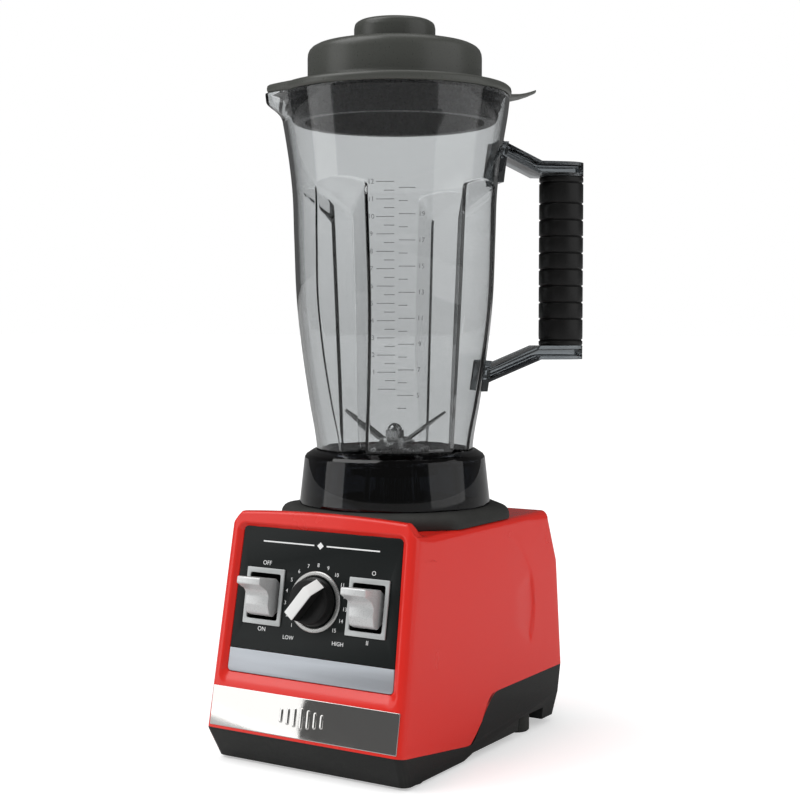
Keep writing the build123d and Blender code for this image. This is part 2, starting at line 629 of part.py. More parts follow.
# ---- pad and seal ------------------------------------------------------------------------------------
def octagon(half, corner):
    points = []
    for quarter in range(4):
        angle = radians(90 * quarter)
        for u, v in ((half, -corner), (half, corner)):
            points.append((u * cos(angle) - v * sin(angle), u * sin(angle) + v * cos(angle)))
    return Polygon(*points, align=None)


def make_pad():
    wall_part = extrude(Pos(0, 0, deck_z) * octagon(pad_half, pad_corner), pad_wall_z - deck_z)
    wall_part = fillet(wall_part.edges().filter_by(Axis.Z), 9)
    rise = pad_top_z - pad_wall_z
    upper = loft([Pos(0, 0, pad_wall_z) * fillet(octagon(pad_half, pad_corner).vertices(), 9),
                  Pos(0, 0, pad_top_z) * fillet(octagon(pad_half - pad_slope, pad_corner - 0.4 * pad_slope).vertices(),
                                                9)])
    pad = wall_part + upper
    pad = pad + ring(pad_boss[0], pad_boss[1], pad_top_z - rise, pad_top_z + pad_boss_height)
    save("jar_pad", pad - rod(pad_hole, deck_z - 1, pad_top_z + 1))
    seal = ring(shaft_hole + 4, shaft_radius + 0.6, deck_z, deck_z + 2) + ring(shaft_hole, shaft_radius + 0.6,
                                                                          deck_z - wall, deck_z)
    save("shaft_seal", seal)


# ---- jar ---------------------------------------------------------------------------------------------
flute_half_angle = atan(flute_spread)


def jar_radius(z):
    """The outside radius of the jar at a height."""
    for (r0, z0), (r1, z1) in zip(jar_outline, jar_outline[1:]):
        if z <= z1:
            return r0 + (r1 - r0) * (z - z0) / (z1 - z0)
    return jar_outline[-1][0]


def valley_radius(z):
    (r0, z0), (r1, z1) = flute_valley
    return r0 + (r1 - r0) * (z - z0) / (z1 - z0)


def moved(line, distance):
    """A line in (radius, height) moved sideways, to the left of its direction."""
    (r0, z0), (r1, z1) = line
    length = sqrt((r1 - r0) ** 2 + (z1 - z0) ** 2)
    nr, nz = -(z1 - z0) / length * distance, (r1 - r0) / length * distance
    return (r0 + nr, z0 + nz), (r1 + nr, z1 + nz)


def stretched(line, r):
    """The height of a line in (radius, height) at a radius."""
    (r0, z0), (r1, z1) = line
    return z0 + (z1 - z0) * (r - r0) / (r1 - r0)


def flute(grow):
    """One V-shaped flute along +X, cut into the outside, or grown by the wall for the inside."""
    shift = grow / sin(flute_half_angle)
    far = 120.0
    sections = []
    for z in (jar_floor_z - 20, jar_rim_z):
        apex = valley_radius(z) - shift
        half = (far - apex) * flute_spread
        sections.append(Pos(0, 0, z) * Polygon((apex, 0), (far, -half), (far, half), align=None))
    vee = loft(sections, ruled=True)
    top = moved(flute_top, grow)
    near = 20.0
    profile = [(near, jar_floor_z - 10), (far, jar_floor_z - 10), (far, stretched(top, far)),
               (near, stretched(top, near))]
    return vee & extrude(Plane.XZ * Polygon(*profile, align=None), 150, both=True)


def flutes(grow):
    cutter = flute(grow)
    turned_ones = [Rot(0, 0, i * 360 / flute_count) * cutter for i in range(flute_count)]
    return turned_ones[0] + turned_ones[1:]


def jar_solid(inset):
    """The jar's outside as a solid, or its cavity when inset by the wall."""
    points = [(max(r - inset, 0), z) for r, z in jar_outline]
    base = jar_floor_z + (jar_floor if inset else 0)
    points[0] = (points[0][0], base)
    curve = Spline(*[(r, z) for r, z in points], tangents=[(0.05, 1), (0.05, 1)])
    end = points[-1]
    top = end[1] + (1 if inset else 0)
    edges = curve + Polyline(end, (end[0], top), (0, top), (0, base), points[0]) if inset else curve + Polyline(
        end, (0, end[1]), (0, base), points[0])
    return revolve(Plane.XZ * make_face(edges), Axis.Z)


def spout(grow):
    """The beak at the rim, as a wedge that points along +X before it is turned into place."""
    root = jar_radius(jar_rim_z) - 14
    points_low = [(root, -8 - grow), (root, 8 + grow), (jar_radius(jar_rim_z - spout_depth) - 1.5 + grow, 2),
                  (jar_radius(jar_rim_z - spout_depth) - 1.5 + grow, -2)]
    points_high = [(root, -spout_half - grow), (root, spout_half + grow), (spout_tip + grow, 3.0 + grow / 2),
                   (spout_tip + grow, -3.0 - grow / 2)]
    beak = loft([Pos(0, 0, jar_rim_z - spout_depth) * Polygon(*points_low, align=None),
                 Pos(0, 0, jar_rim_z) * Polygon(*points_high, align=None)], ruled=True)
    if grow < 0:
        beak = beak + extrude(Pos(0, 0, jar_rim_z - 0.01) * Polygon(*points_high, align=None), 2, dir=(0, 0, 1))
    return Rot(0, 0, spout_angle) * beak


def make_jar():
    outside = (jar_solid(0) + spout(0)) - flutes(0)
    cavity = (jar_solid(jar_wall) + spout(-2.4)) - flutes(jar_wall)
    jar = outside - cavity
    jar = jar - rod(housing_body_radius + 0.3, 0, jar_floor_z + jar_floor + 1)
    save("jar_body", jar)


def make_collar():
    outer = [(0, pad_top_z), (collar_bottom_radius, pad_top_z), (collar_top_radius, collar_shoulder_z),
             (collar_lip_radius, collar_lip_z), (0, collar_lip_z)]
    deck_low = jar_floor_z - collar_deck
    slope = (collar_top_radius - collar_bottom_radius) / (collar_shoulder_z - pad_top_z)
    inner = [(0, pad_top_z - 1), (collar_bottom_radius - wall - slope, pad_top_z - 1),
             (collar_bottom_radius - wall + slope * (deck_low - pad_top_z), deck_low), (0, deck_low)]
    collar = turned(outer) - turned(inner)
    seat = [(0, jar_floor_z), (jar_outline[0][0] + 0.15, jar_floor_z),
            (jar_radius(collar_lip_z + 1) + 0.35, collar_lip_z + 1), (0, collar_lip_z + 1)]
    collar = collar - turned(seat) - rod(housing_body_radius + 0.3, 0, 300)
    save("jar_collar", collar)


# ---- handle ------------------------------------------------------------------------------------------
def arm_prism(centre, width):
    """A band along a (radius, height) path, as wide as width across the handle's plane."""
    return extrude(Plane.XZ * centre, width / 2, both=True)


def i_arm(path):
    """An arm with two flanges and a web. path is the line of its upper flange."""
    drop = arm_height - arm_flange
    upper = strip_polygon(path, 0.0, -arm_flange)
    lower = strip_polygon(path, -drop, -arm_height)
    web = strip_polygon(path, -arm_flange + 0.2, -drop - 0.2)
    return arm_prism(upper, arm_width) + arm_prism(lower, arm_width) + arm_prism(web, arm_web)


def strip_polygon(path, top, low):
    """The strip between two heights below a path, measured straight down."""
    upper = [(r, z + top) for r, z in path]
    lower = [(r, z + low) for r, z in reversed(path)]
    return Polygon(*upper, *lower, align=None)


def make_handle():
    reach = handle_reach
    upper_path = [upper_arm_root, (arm_bend, upper_arm_z), (reach, upper_arm_z)]
    lower_top = lower_arm_z + arm_height
    lower_path = [(lower_arm_root[0], lower_arm_root[1] + arm_height + 1), (arm_bend, lower_top), (reach, lower_top)]
    upper, lower = i_arm(upper_path), i_arm(lower_path)
    grip_r = reach - grip_radial / 2
    upper_bottom = upper_arm_z - arm_height
    core = Pos(grip_r, 0, lower_top - 1) * Box(*grip_core, upper_bottom - lower_top + 2, align=bottom)
    ends = [block(reach - arm_flange, reach, -arm_width / 2, arm_width / 2, z, z + arm_height)
            for z in (upper_bottom, lower_arm_z)]
    plate_high = upper_arm_root[1] - 0.5
    plate = foot_plate((jar_radius(bracket_foot_z), bracket_foot_z), (jar_radius(plate_high), plate_high))
    foot_low, foot_high = lower_arm_root[1] - 4, lower_arm_root[1] + 18
    foot = foot_plate((jar_radius(foot_low), foot_low), (jar_radius(foot_high), foot_high))
    frame = upper + lower + core + ends[0] + ends[1] + plate + foot
    plan = Pos(grip_r / 2, 0) * Rectangle(grip_r, arm_width)
    plan = plan + Pos(grip_r, 0) * Ellipse(grip_radial / 2, arm_width / 2)
    frame = frame & extrude(plan, jar_rim_z, dir=(0, 0, 1))
    save("handle_frame", Rot(0, 0, handle_angle) * frame - jar_gap())
    # the grip fills the space between the arms; its outermost grooves set off a band at each end
    groove_width, groove_depth = grip_groove
    section = Ellipse(grip_radial / 2, grip_across / 2)
    core_section = Ellipse(grip_radial / 2 - groove_depth, grip_across / 2 - groove_depth)
    grip = extrude(Pos(grip_r, 0, lower_top) * section, upper_bottom - lower_top)
    middle = (grip_z[0] + grip_z[1]) / 2 + 0.25
    grooves = [middle + (i - (grip_grooves - 1) / 2) * grip_groove_pitch for i in range(grip_grooves)]
    for z in grooves + list(grip_z):
        band = extrude(Pos(grip_r, 0, z - groove_width / 2) * section, groove_width)
        grip = grip - (band - extrude(Pos(grip_r, 0, z - groove_width / 2) * core_section, groove_width))
    grip = grip - Pos(grip_r, 0, lower_top - 1) * Box(*grip_core, upper_bottom - lower_top + 2, align=bottom)
    save("handle_grip", Rot(0, 0, handle_angle) * grip)


def foot_plate(low, high):
    """A plate of the frame against the jar's wall, between two (radius, height) points of the wall."""
    reach_in, thick = 8.0, 3.2
    points = [(low[0] - reach_in, low[1]), (low[0] + thick, low[1]), (high[0] + thick, high[1]),
              (high[0] - reach_in, high[1])]
    return extrude(Plane.XZ * Polygon(*points, align=None), arm_width / 2, both=True)


def jar_gap():
    """The jar's outside with a hair of clearance, so that the handle's feet fit its wall."""
    points = [(r + 0.08, z) for r, z in jar_outline]
    curve = Spline(*points, tangents=[(0.05, 1), (0.05, 1)])
    edges = curve + Polyline(points[-1], (0, points[-1][1]), (0, points[0][1]), points[0])
    return revolve(Plane.XZ * make_face(edges), Axis.Z)


# ---- blade unit ----------------------------------------------------------------------------------------
def make_blade_unit():
    flange_radius, flange_height = housing_flange
    floor = jar_floor_z + jar_floor
    gasket = 0.8
    low = nut_z[0] + 0.6
    save("blade_gasket", ring(flange_radius - 1, housing_body_radius + 0.1, floor, floor + gasket))
    unit = rod(flange_radius, floor + gasket, floor + gasket + flange_height) + rod(housing_body_radius, low,
                                                                                  floor + gasket)
    unit = chamfer(unit.edges().group_by(Axis.Z)[-1], 1.0)
    bearing_r, bearing_w = ball_bearing
    first = low + 0.6
    second = first + bearing_w + 2.4
    unit = unit - rod(bearing_r, first, second + bearing_w) - rod(blade_shaft_radius + 1.2, 0, 300)
    save("blade_bearing_housing", unit)
    bearings = [ring(bearing_r - 0.02, blade_shaft_radius + running, z + 0.02, z + bearing_w - 0.02)
                for z in (first, second)]
    save("blade_bearings", Compound(children=bearings))
    nut = ring(nut_radius, housing_body_radius + 0.1, nut_z[0], nut_z[1])
    for i in range(12):
        nut = nut - Rot(0, 0, i * 30) * rod(3, nut_z[0] - 1, nut_z[1] - 3, nut_radius + 1, 0)
    save("jar_nut", nut)
    top = floor + gasket + flange_height
    save("blade_seal", ring(blade_shaft_radius + 1.1, blade_shaft_radius + running, top - 2.6, top - 0.3))
    save("blade_shaft", rod(blade_shaft_radius, socket_z[1] - 5, blade_hub_z + 10))
    save("blade_washer", ring(8, blade_shaft_radius, top + 0.3, blade_hub_z))
    save("blade_upper", blade_pair(blade_hub_z + blade_plate, 15, blade_radius, 36))
    save("blade_lower", blade_pair(blade_hub_z, 105, blade_radius, -8))
    nut_low = blade_hub_z + 2 * blade_plate
    cap_nut = extrude(Pos(0, 0, nut_low) * RegularPolygon(7.4, 6), 5) - rod(blade_shaft_radius, nut_low - 1,
                                                                         blade_hub_z + 10)
    dome = Pos(0, 0, nut_low + 5) * (Sphere(5.2) & Pos(0, 0, 0) * Cylinder(10, 10, align=bottom))
    dome = dome - rod(blade_shaft_radius, nut_low - 1, blade_hub_z + 10)
    save("blade_nut", cap_nut + dome)
    z0, z1 = socket_z
    body = rod(socket_radius, z0, z1)
    body = chamfer(body.edges().group_by(Axis.Z)[0], 1.0)
    cavity = extrude(Pos(0, 0, z0 - 1) * spline_section(spline_outer, spline_inner, spline_clearance),
                     coupling_z[1] - z0 + 1.6)
    mouth = Pos(0, 0, z0 - 0.01) * Cone(spline_outer + 2, spline_outer, 2, align=bottom)
    body = body - cavity - mouth
    save("drive_socket", body - rod(blade_shaft_radius, z1 - 5, z1 + 1))


def blade_pair(z, angle, radius, bend):
    """Two opposite wings on one hub plate. Each wing bends up at the edge of the hub."""
    hub = extrude(Pos(0, 0, z) * Circle(blade_hub_radius), blade_plate)
    pair = hub
    root = blade_hub_radius - 0.4
    reach = (radius - root) / cos(radians(bend))
    wing = Polygon((-2, -7), (reach * 0.45, -8.0), (reach, -1.5), (reach - 1, 1.8), (reach * 0.55, 5.5), (-2, 6),
                   align=None)
    low, high = (z - 20, z) if bend > 0 else (z + blade_plate, z + 20)
    beside = rod(blade_hub_radius + 1, low, high)
    for turn in (0, 180):
        plate = extrude(wing, blade_plate)
        placed = Rot(0, 0, turn) * Pos(root, 0, z) * Rot(0, -bend, 0) * plate
        pair = pair + (placed - rod(root, z - 20, z + 60) - beside)
    pair = Rot(0, 0, angle) * pair
    return pair - rod(blade_shaft_radius, z - 5, z + 10)


# ---- lid and filler cap ----------------------------------------------------------------------------------
def make_lid():
    rim = jar_rim_z
    dome_in = lid_dome_radius - lid_wall
    outer = [(0, rim), (lid_flange_radius - 1.5, rim), (lid_flange_radius, rim + 1.5),
             (lid_flange_radius, lid_flange_top - 2), (lid_flange_radius - 2, lid_flange_top),
             (lid_dome_radius, lid_flange_top + 0.5), (lid_dome_radius, lid_dome_top - lid_edge),
             (lid_dome_radius - 0.3 * lid_edge, lid_dome_top - 0.3 * lid_edge),
             (lid_dome_radius - lid_edge, lid_dome_top), (0, lid_dome_top)]
    inner = [(0, rim - 1), (dome_in, rim - 1), (dome_in, lid_dome_top - lid_edge - 1),
             (dome_in - lid_edge + 2, lid_dome_top - lid_wall), (0, lid_dome_top - lid_wall)]
    lid = turned(outer)
    beak = extrude(Pos(0, 0, rim) * Polygon((60, -spout_half - 3), (60, spout_half + 3), (spout_tip - 0.5, 4),
                                          (spout_tip - 0.5, -4), align=None), 4.0, dir=(0, 0, 1))
    beak = fillet(beak.edges().filter_by(Axis.Z).group_by(Axis.X)[-1], 3)
    lid = lid + Rot(0, 0, spout_angle) * beak
    tab = extrude(Pos(0, 0, rim + 1.5) * (Polygon((60, -tab_half), (60, tab_half), (tab_reach, tab_half - 4),
                                                (tab_reach, -tab_half + 4), align=None)), 2.8, dir=(0, 0, 1))
    tab = fillet(tab.edges().filter_by(Axis.Z).group_by(Axis.X)[-1], 6)
    lid = lid + Rot(0, 0, handle_angle) * tab
    lid = lid - turned(inner)
    collar = ring(filler_radius + lid_wall, filler_radius, lid_dome_top - 12, lid_dome_top)
    lid = (lid - rod(filler_radius, lid_dome_top - 20, lid_dome_top + 1)) + collar
    save("lid_shell", lid)
    top_radius = jar_radius(rim) - jar_wall - 1.0
    skirt = [(skirt_bottom_radius, skirt_bottom_z), (top_radius, rim), (skirt_bottom_radius - skirt_thick, rim),
             (skirt_bottom_radius - skirt_thick, skirt_bottom_z)]
    seal = turned(skirt)
    for z in (skirt_bottom_z + 6, skirt_bottom_z + 12):
        seal = seal - ring(100, skirt_bottom_radius + (z - skirt_bottom_z) * 0.28 - 1.2, z, z + 1.5)
    save("lid_seal", seal)


def make_cap():
    base = lid_dome_top
    head = [(0, base), (cap_radius - 1, base), (cap_radius, base + 1), (cap_radius, cap_top_z - 4),
            (cap_radius - 1.2, cap_top_z - 1.2), (cap_radius - 4, cap_top_z), (0, cap_top_z)]
    plug_radius = filler_radius - clearance
    plug = [(0, base - cap_plug_depth), (plug_radius, base - cap_plug_depth), (plug_radius, base + 0.1), (0, base + 0.1)]
    cap = turned(head) + turned(plug)
    cap = cap - rod(plug_radius - lid_wall, base - cap_plug_depth - 1, cap_top_z - 4)
    save("filler_cap", cap)


# ---- build -----------------------------------------------------------------------------------------------
save("housing", make_housing())
save("base_tray", make_tray())
make_feet()
make_panel()
for switch_name, switch_place in (("power", -switch_x), ("pulse", switch_x)):
    make_switch(switch_name, switch_place)
save("switch_pins", Compound(children=switch_pins))
make_knob()
make_electrics()
make_motor()
make_rotor()
make_pad()
make_jar()
make_collar()
make_handle()
make_blade_unit()
make_lid()
make_cap()

os.makedirs("parts", exist_ok=True)
for node_name, node_shape in parts.items():
    export_step(node_shape, os.path.join("parts", node_name + ".step"))
print(len(parts), "nodes written")
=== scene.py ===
import math
import bpy
import bmesh
import numpy as np
from mathutils import Matrix, Vector


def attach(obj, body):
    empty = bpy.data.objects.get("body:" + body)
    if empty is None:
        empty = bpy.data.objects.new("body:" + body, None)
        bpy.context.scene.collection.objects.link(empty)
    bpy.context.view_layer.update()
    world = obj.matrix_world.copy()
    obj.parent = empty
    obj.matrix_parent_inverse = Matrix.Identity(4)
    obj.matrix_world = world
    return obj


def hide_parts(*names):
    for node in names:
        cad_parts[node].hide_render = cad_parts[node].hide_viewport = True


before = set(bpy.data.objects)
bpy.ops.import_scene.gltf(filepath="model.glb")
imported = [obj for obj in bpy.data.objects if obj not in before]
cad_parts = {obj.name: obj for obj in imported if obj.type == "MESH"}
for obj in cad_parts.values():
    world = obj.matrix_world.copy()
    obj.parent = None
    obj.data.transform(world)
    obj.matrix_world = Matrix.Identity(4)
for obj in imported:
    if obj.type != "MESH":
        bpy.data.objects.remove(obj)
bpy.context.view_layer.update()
mm = 0.001
turn = 2 * math.pi


# small mesh tools

def ringFaces(rows, cols, wrap=True):
    # quads between neighbouring rings of a grid, worked out as one array
    r = np.arange(rows - 1)[:, None] * cols
    c = np.arange(cols if wrap else cols - 1)[None, :]
    n = (c + 1) % cols
    return np.stack([r + c, r + n, r + cols + n, r + cols + c], axis=-1).reshape(-1, 4)


def gridMesh(name, grids):
    # grids is a list of (points[rows, cols, 3] in mm, wrap); all go into one mesh
    points, faces, start = [], [], 0
    for grid, wrap in grids:
        rows, cols = grid.shape[:2]
        points.append(grid.reshape(-1, 3))
        faces.append(ringFaces(rows, cols, wrap) + start)
        start += rows * cols
    points, faces = np.concatenate(points) * mm, np.concatenate(faces)
    mesh = bpy.data.meshes.new(name)
    mesh.vertices.add(len(points))
    mesh.vertices.foreach_set("co", points.ravel())
    mesh.loops.add(faces.size)
    mesh.loops.foreach_set("vertex_index", faces.ravel().astype(np.int32))
    mesh.polygons.add(len(faces))
    mesh.polygons.foreach_set("loop_start", np.arange(0, faces.size, 4, dtype=np.int32))
    mesh.update(calc_edges=True)
    return mesh


def tidyMesh(mesh, weld=2e-6, sharp=35.0, flip=True):
    # joins doubles, turns the faces outwards and keeps edges sharper than the angle crisp
    work = bmesh.new()
    work.from_mesh(mesh)
    bmesh.ops.remove_doubles(work, verts=work.verts, dist=weld)
    bmesh.ops.dissolve_degenerate(work, edges=work.edges, dist=weld / 2)
    if flip:
        bmesh.ops.recalc_face_normals(work, faces=work.faces)
    work.to_mesh(mesh)
    work.free()
    mesh.polygons.foreach_set("use_smooth", np.ones(len(mesh.polygons), dtype=bool))
    mesh.set_sharp_from_angle(angle=math.radians(sharp))
    mesh.update()
    return mesh


def addPiece(name, mesh, material, body, nodes=()):
    piece = bpy.data.objects.new(name, mesh)
    bpy.context.scene.collection.objects.link(piece)
    mesh.materials.clear()
    for entry in material if isinstance(material, (list, tuple)) else [material]:
        mesh.materials.append(entry)
    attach(piece, body)
    if nodes:
        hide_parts(*nodes)
    return piece


def joinMeshes(name, meshes):
    work = bmesh.new()
    for mesh in meshes:
        work.from_mesh(mesh)
    joined = bpy.data.meshes.new(name)
    work.to_mesh(joined)
    work.free()
    return joined


def roundPath(points, radii, steps=5):
    # a polyline whose corners become arcs: each corner is cut back by radius * tan(half turn) and bridged by
    # a quadratic
    points = np.asarray(points, float)
    radii = np.broadcast_to(np.asarray(radii, float), (len(points),))
    out = [points[0]]
    for before, corner, after, radius in zip(points[:-2], points[1:-1], points[2:], radii[1:-1]):
        a, b = before - corner, after - corner
        la, lb = np.linalg.norm(a), np.linalg.norm(b)
        bend = math.pi - math.acos(np.clip(a @ b / (la * lb), -1, 1))
        cut = min(radius * math.tan(bend / 2), 0.48 * la, 0.48 * lb)
        if cut < 0.02:
            out.append(corner)
            continue
        t = np.linspace(0, 1, steps)[:, None]
        p, q = corner + a / la * cut, corner + b / lb * cut
        out.extend((1 - t) ** 2 * p + 2 * t * (1 - t) * corner + t ** 2 * q)
    out.append(points[-1])
    return np.array(out)


def roundLoop(points, radii, steps=5):
    # the same for a closed outline: it is opened in the middle of its last side
    points = np.asarray(points, float)
    middle = (points[0] + points[-1]) / 2
    radii = np.broadcast_to(np.asarray(radii, float), (len(points),))
    path = roundPath(np.vstack([middle, points, middle]), np.concatenate([[0], radii, [0]]), steps)
    return path[:-1]


def insetLoop(loop, distance):
    # moves each point of a counter-clockwise outline inwards along the mean normal of its two sides
    ahead, behind = np.roll(loop, -1, axis=0) - loop, loop - np.roll(loop, 1, axis=0)
    ahead /= np.maximum(np.linalg.norm(ahead, axis=1), 1e-9)[:, None]
    behind /= np.maximum(np.linalg.norm(behind, axis=1), 1e-9)[:, None]
    normal = np.stack([-(ahead + behind)[:, 1], (ahead + behind)[:, 0]], axis=1)
    normal /= np.maximum(np.linalg.norm(normal, axis=1), 1e-9)[:, None]
    cosine = np.maximum((normal * np.stack([-ahead[:, 1], ahead[:, 0]], axis=1)).sum(1), 0.5)
    return loop + normal * (distance / cosine)[:, None]


def scaled(place):
    # a placement given in mm, for a mesh already in metres
    placed = place.copy()
    placed.translation = placed.translation * mm
    return placed


def latheMesh(name, profile, columns=144):
    # a (radius, height) profile carried once round the axis
    profile = np.asarray(profile, float)
    a = np.linspace(0, turn, columns, endpoint=False)
    grid = np.stack([profile[:, :1] * np.cos(a), profile[:, :1] * np.sin(a),
                     np.repeat(profile[:, 1:], columns, axis=1)], axis=-1)
    return gridMesh(name, [(grid, True)])


def smoothstep(x):
    x = np.clip(x, 0, 1)
    return x * x * (3 - 2 * x)


# shader tools


def newGroup(name, inputs, outputs):
    group = bpy.data.node_groups.new(name, "ShaderNodeTree")
    for label, kind, value in inputs:
        socket = group.interface.new_socket(label, in_out="INPUT", socket_type=kind)
        socket.default_value = value
    for label, kind in outputs:
        group.interface.new_socket(label, in_out="OUTPUT", socket_type=kind)
    return group, group.nodes.new("NodeGroupInput"), group.nodes.new("NodeGroupOutput")


def setInputs(tree, node, inputs):
    # each entry is a socket to link or a plain value
    for key, entry in inputs.items():
        if isinstance(entry, bpy.types.NodeSocket):
            tree.links.new(entry, node.inputs[key])
        else:
            node.inputs[key].default_value = entry


def addNode(tree, kind, inputs=None, **settings):
    node = tree.nodes.new(kind)
    for key, value in settings.items():
        setattr(node, key, value)
    setInputs(tree, node, inputs or {})
    return node


def calculate(tree, operation, a, b, clamp=False):
    return addNode(tree, "ShaderNodeMath", {0: a, 1: b}, operation=operation, use_clamp=clamp).outputs[0]


def mapRange(tree, value, fromLow, fromHigh, toLow, toHigh):
    return addNode(tree, "ShaderNodeMapRange", {"Value": value, "From Min": fromLow, "From Max": fromHigh,
                                                "To Min": toLow, "To Max": toHigh}).outputs["Result"]


def objectNoise(tree, scale, detail, roughness=0.5):
    spot = addNode(tree, "ShaderNodeTexCoord")
    return addNode(tree, "ShaderNodeTexNoise", {"Vector": spot.outputs["Object"], "Scale": scale,
                                                "Detail": detail, "Roughness": roughness}).outputs["Fac"]


def mixColours(tree, share, under, over):
    # the colour inputs of this node are numbers 6 and 7, its colour output is number 2
    return addNode(tree, "ShaderNodeMix", {0: share, 6: under, 7: over}, data_type="RGBA").outputs[2]


floatSocket, colourSocket = "NodeSocketFloat", "NodeSocketColor"
# the last span gives the heights over which the painted shade on clear plastic fades out
effects = dict(noiseSpan=(0.3, 0.7), edgeSpan=(0.51, 0.6), dustScale=60.0, bumpHeight=0.0006,
               clearBump=0.0004,
               flowScale=18.0, flowBump=0.05, flowTint=0.97, haze=0.012, clearIor=1.49, paintedShadeSpan=(0.25, 0.40))


def makeGrainGroup():
    # fine mottling: the mean of two noises is a height, the coarser one also a roughness from low to high
    group, inside, outside = newGroup("fineGrain", [
        ("Scale", floatSocket, 900.0), ("Fine Scale", floatSocket, 4000.0), ("Low", floatSocket, 0.3),
        ("High", floatSocket, 0.5)], [("Height", floatSocket), ("Rough", floatSocket)])
    coarse = objectNoise(group, inside.outputs["Scale"], 3.0, 0.6)
    both = calculate(group, "ADD", coarse, objectNoise(group, inside.outputs["Fine Scale"], 2.0))
    setInputs(group, outside, {
        "Height": calculate(group, "MULTIPLY", both, 0.5),
        "Rough": mapRange(group, coarse, *effects["noiseSpan"], inside.outputs["Low"],
                          inside.outputs["High"])})
    return group


def makeWearGroup():
    # where edges have rubbed: the pointiness of the surface broken up by noise
    group, inside, outside = newGroup("edgeWear", [
        ("Base", colourSocket, (0.5, 0.5, 0.5, 1)), ("Worn", colourSocket, (0.7, 0.7, 0.7, 1)),
        ("Amount", floatSocket, 0.3), ("Scale", floatSocket, 300.0)],
        [("Color", colourSocket), ("Mask", floatSocket)])
    shape = addNode(group, "ShaderNodeNewGeometry")
    edge = mapRange(group, shape.outputs["Pointiness"], *effects["edgeSpan"], 0.0, 1.0)
    broken = calculate(group, "MULTIPLY", edge, objectNoise(group, inside.outputs["Scale"], 4.0))
    mask = calculate(group, "MULTIPLY", broken, inside.outputs["Amount"], clamp=True)
    colour = mixColours(group, mask, inside.outputs["Base"], inside.outputs["Worn"])
    setInputs(group, outside, {"Color": colour, "Mask": mask})
    return group


def makeDustGroup():
    # a trace of dust: upward faces times soft noise
    group, inside, outside = newGroup("lightDust", [
        ("Color", colourSocket, (0.5, 0.5, 0.5, 1)), ("Dust", colourSocket, (0.6, 0.58, 0.55, 1)),
        ("Amount", floatSocket, 0.05)], [("Color", colourSocket), ("Mask", floatSocket)])
    shape = addNode(group, "ShaderNodeNewGeometry")
    axes = addNode(group, "ShaderNodeSeparateXYZ", {0: shape.outputs["Normal"]})
    up = calculate(group, "MULTIPLY", axes.outputs["Z"], objectNoise(group, effects["dustScale"], 5.0),
                   clamp=True)
    mask = calculate(group, "MULTIPLY", up, inside.outputs["Amount"])
    colour = mixColours(group, mask, inside.outputs["Color"], inside.outputs["Dust"])
    setInputs(group, outside, {"Color": colour, "Mask": mask})
    return group


grainGroup, wearGroup, dustGroup = makeGrainGroup(), makeWearGroup(), makeDustGroup()


def newMaterial(name):
    material = bpy.data.materials.new(name)
    material.use_nodes = True
    return material, material.node_tree, material.node_tree.nodes["Principled BSDF"]


def solidFinish(name, colour, rough=(0.3, 0.45), grain=(900.0, 4000.0), bump=0.02, worn=None, wear=0.3,
                dust=0.03,
                metallic=0.0, coat=0.0, specular=0.5, brushed=None, coatRough=0.03):
    # one finish for opaque pieces: mottled roughness and bump, rubbed edges, a trace of dust
    material, tree, shader = newMaterial(name)
    worn = worn or tuple(min(c * 1.6 + 0.02, 1.0) for c in colour)
    grainNode = addNode(tree, "ShaderNodeGroup", {"Scale": grain[0], "Fine Scale": grain[1], "Low": rough[0],
                                                  "High": rough[1]}, node_tree=grainGroup)
    wearNode = addNode(tree, "ShaderNodeGroup",
                       {"Base": (*colour, 1.0), "Worn": (*worn, 1.0), "Amount": wear},
                       node_tree=wearGroup)
    dustNode = addNode(tree, "ShaderNodeGroup", {"Color": wearNode.outputs["Color"], "Amount": dust},
                       node_tree=dustGroup)
    height, roughness = grainNode.outputs["Height"], grainNode.outputs["Rough"]
    if brushed:
        # lines: noise stretched along one direction
        spot = addNode(tree, "ShaderNodeTexCoord")
        stretch = addNode(tree, "ShaderNodeMapping", {"Vector": spot.outputs["Object"], "Scale": brushed})
        lines = addNode(tree, "ShaderNodeTexNoise", {"Vector": stretch.outputs["Vector"], "Scale": 1.0,
                                                     "Detail": 3.0})
        height = lines.outputs["Fac"]
        roughness = mapRange(tree, height, *effects["noiseSpan"], *rough)
    bumpNode = addNode(tree, "ShaderNodeBump", {"Height": height, "Strength": bump,
                                                "Distance": effects["bumpHeight"]})
    setInputs(tree, shader, {
        "Base Color": dustNode.outputs["Color"], "Roughness": roughness, "Normal": bumpNode.outputs["Normal"],
        "Metallic": metallic, "Coat Weight": coat, "Coat Roughness": coatRough,
        "Specular IOR Level": specular})
    return material


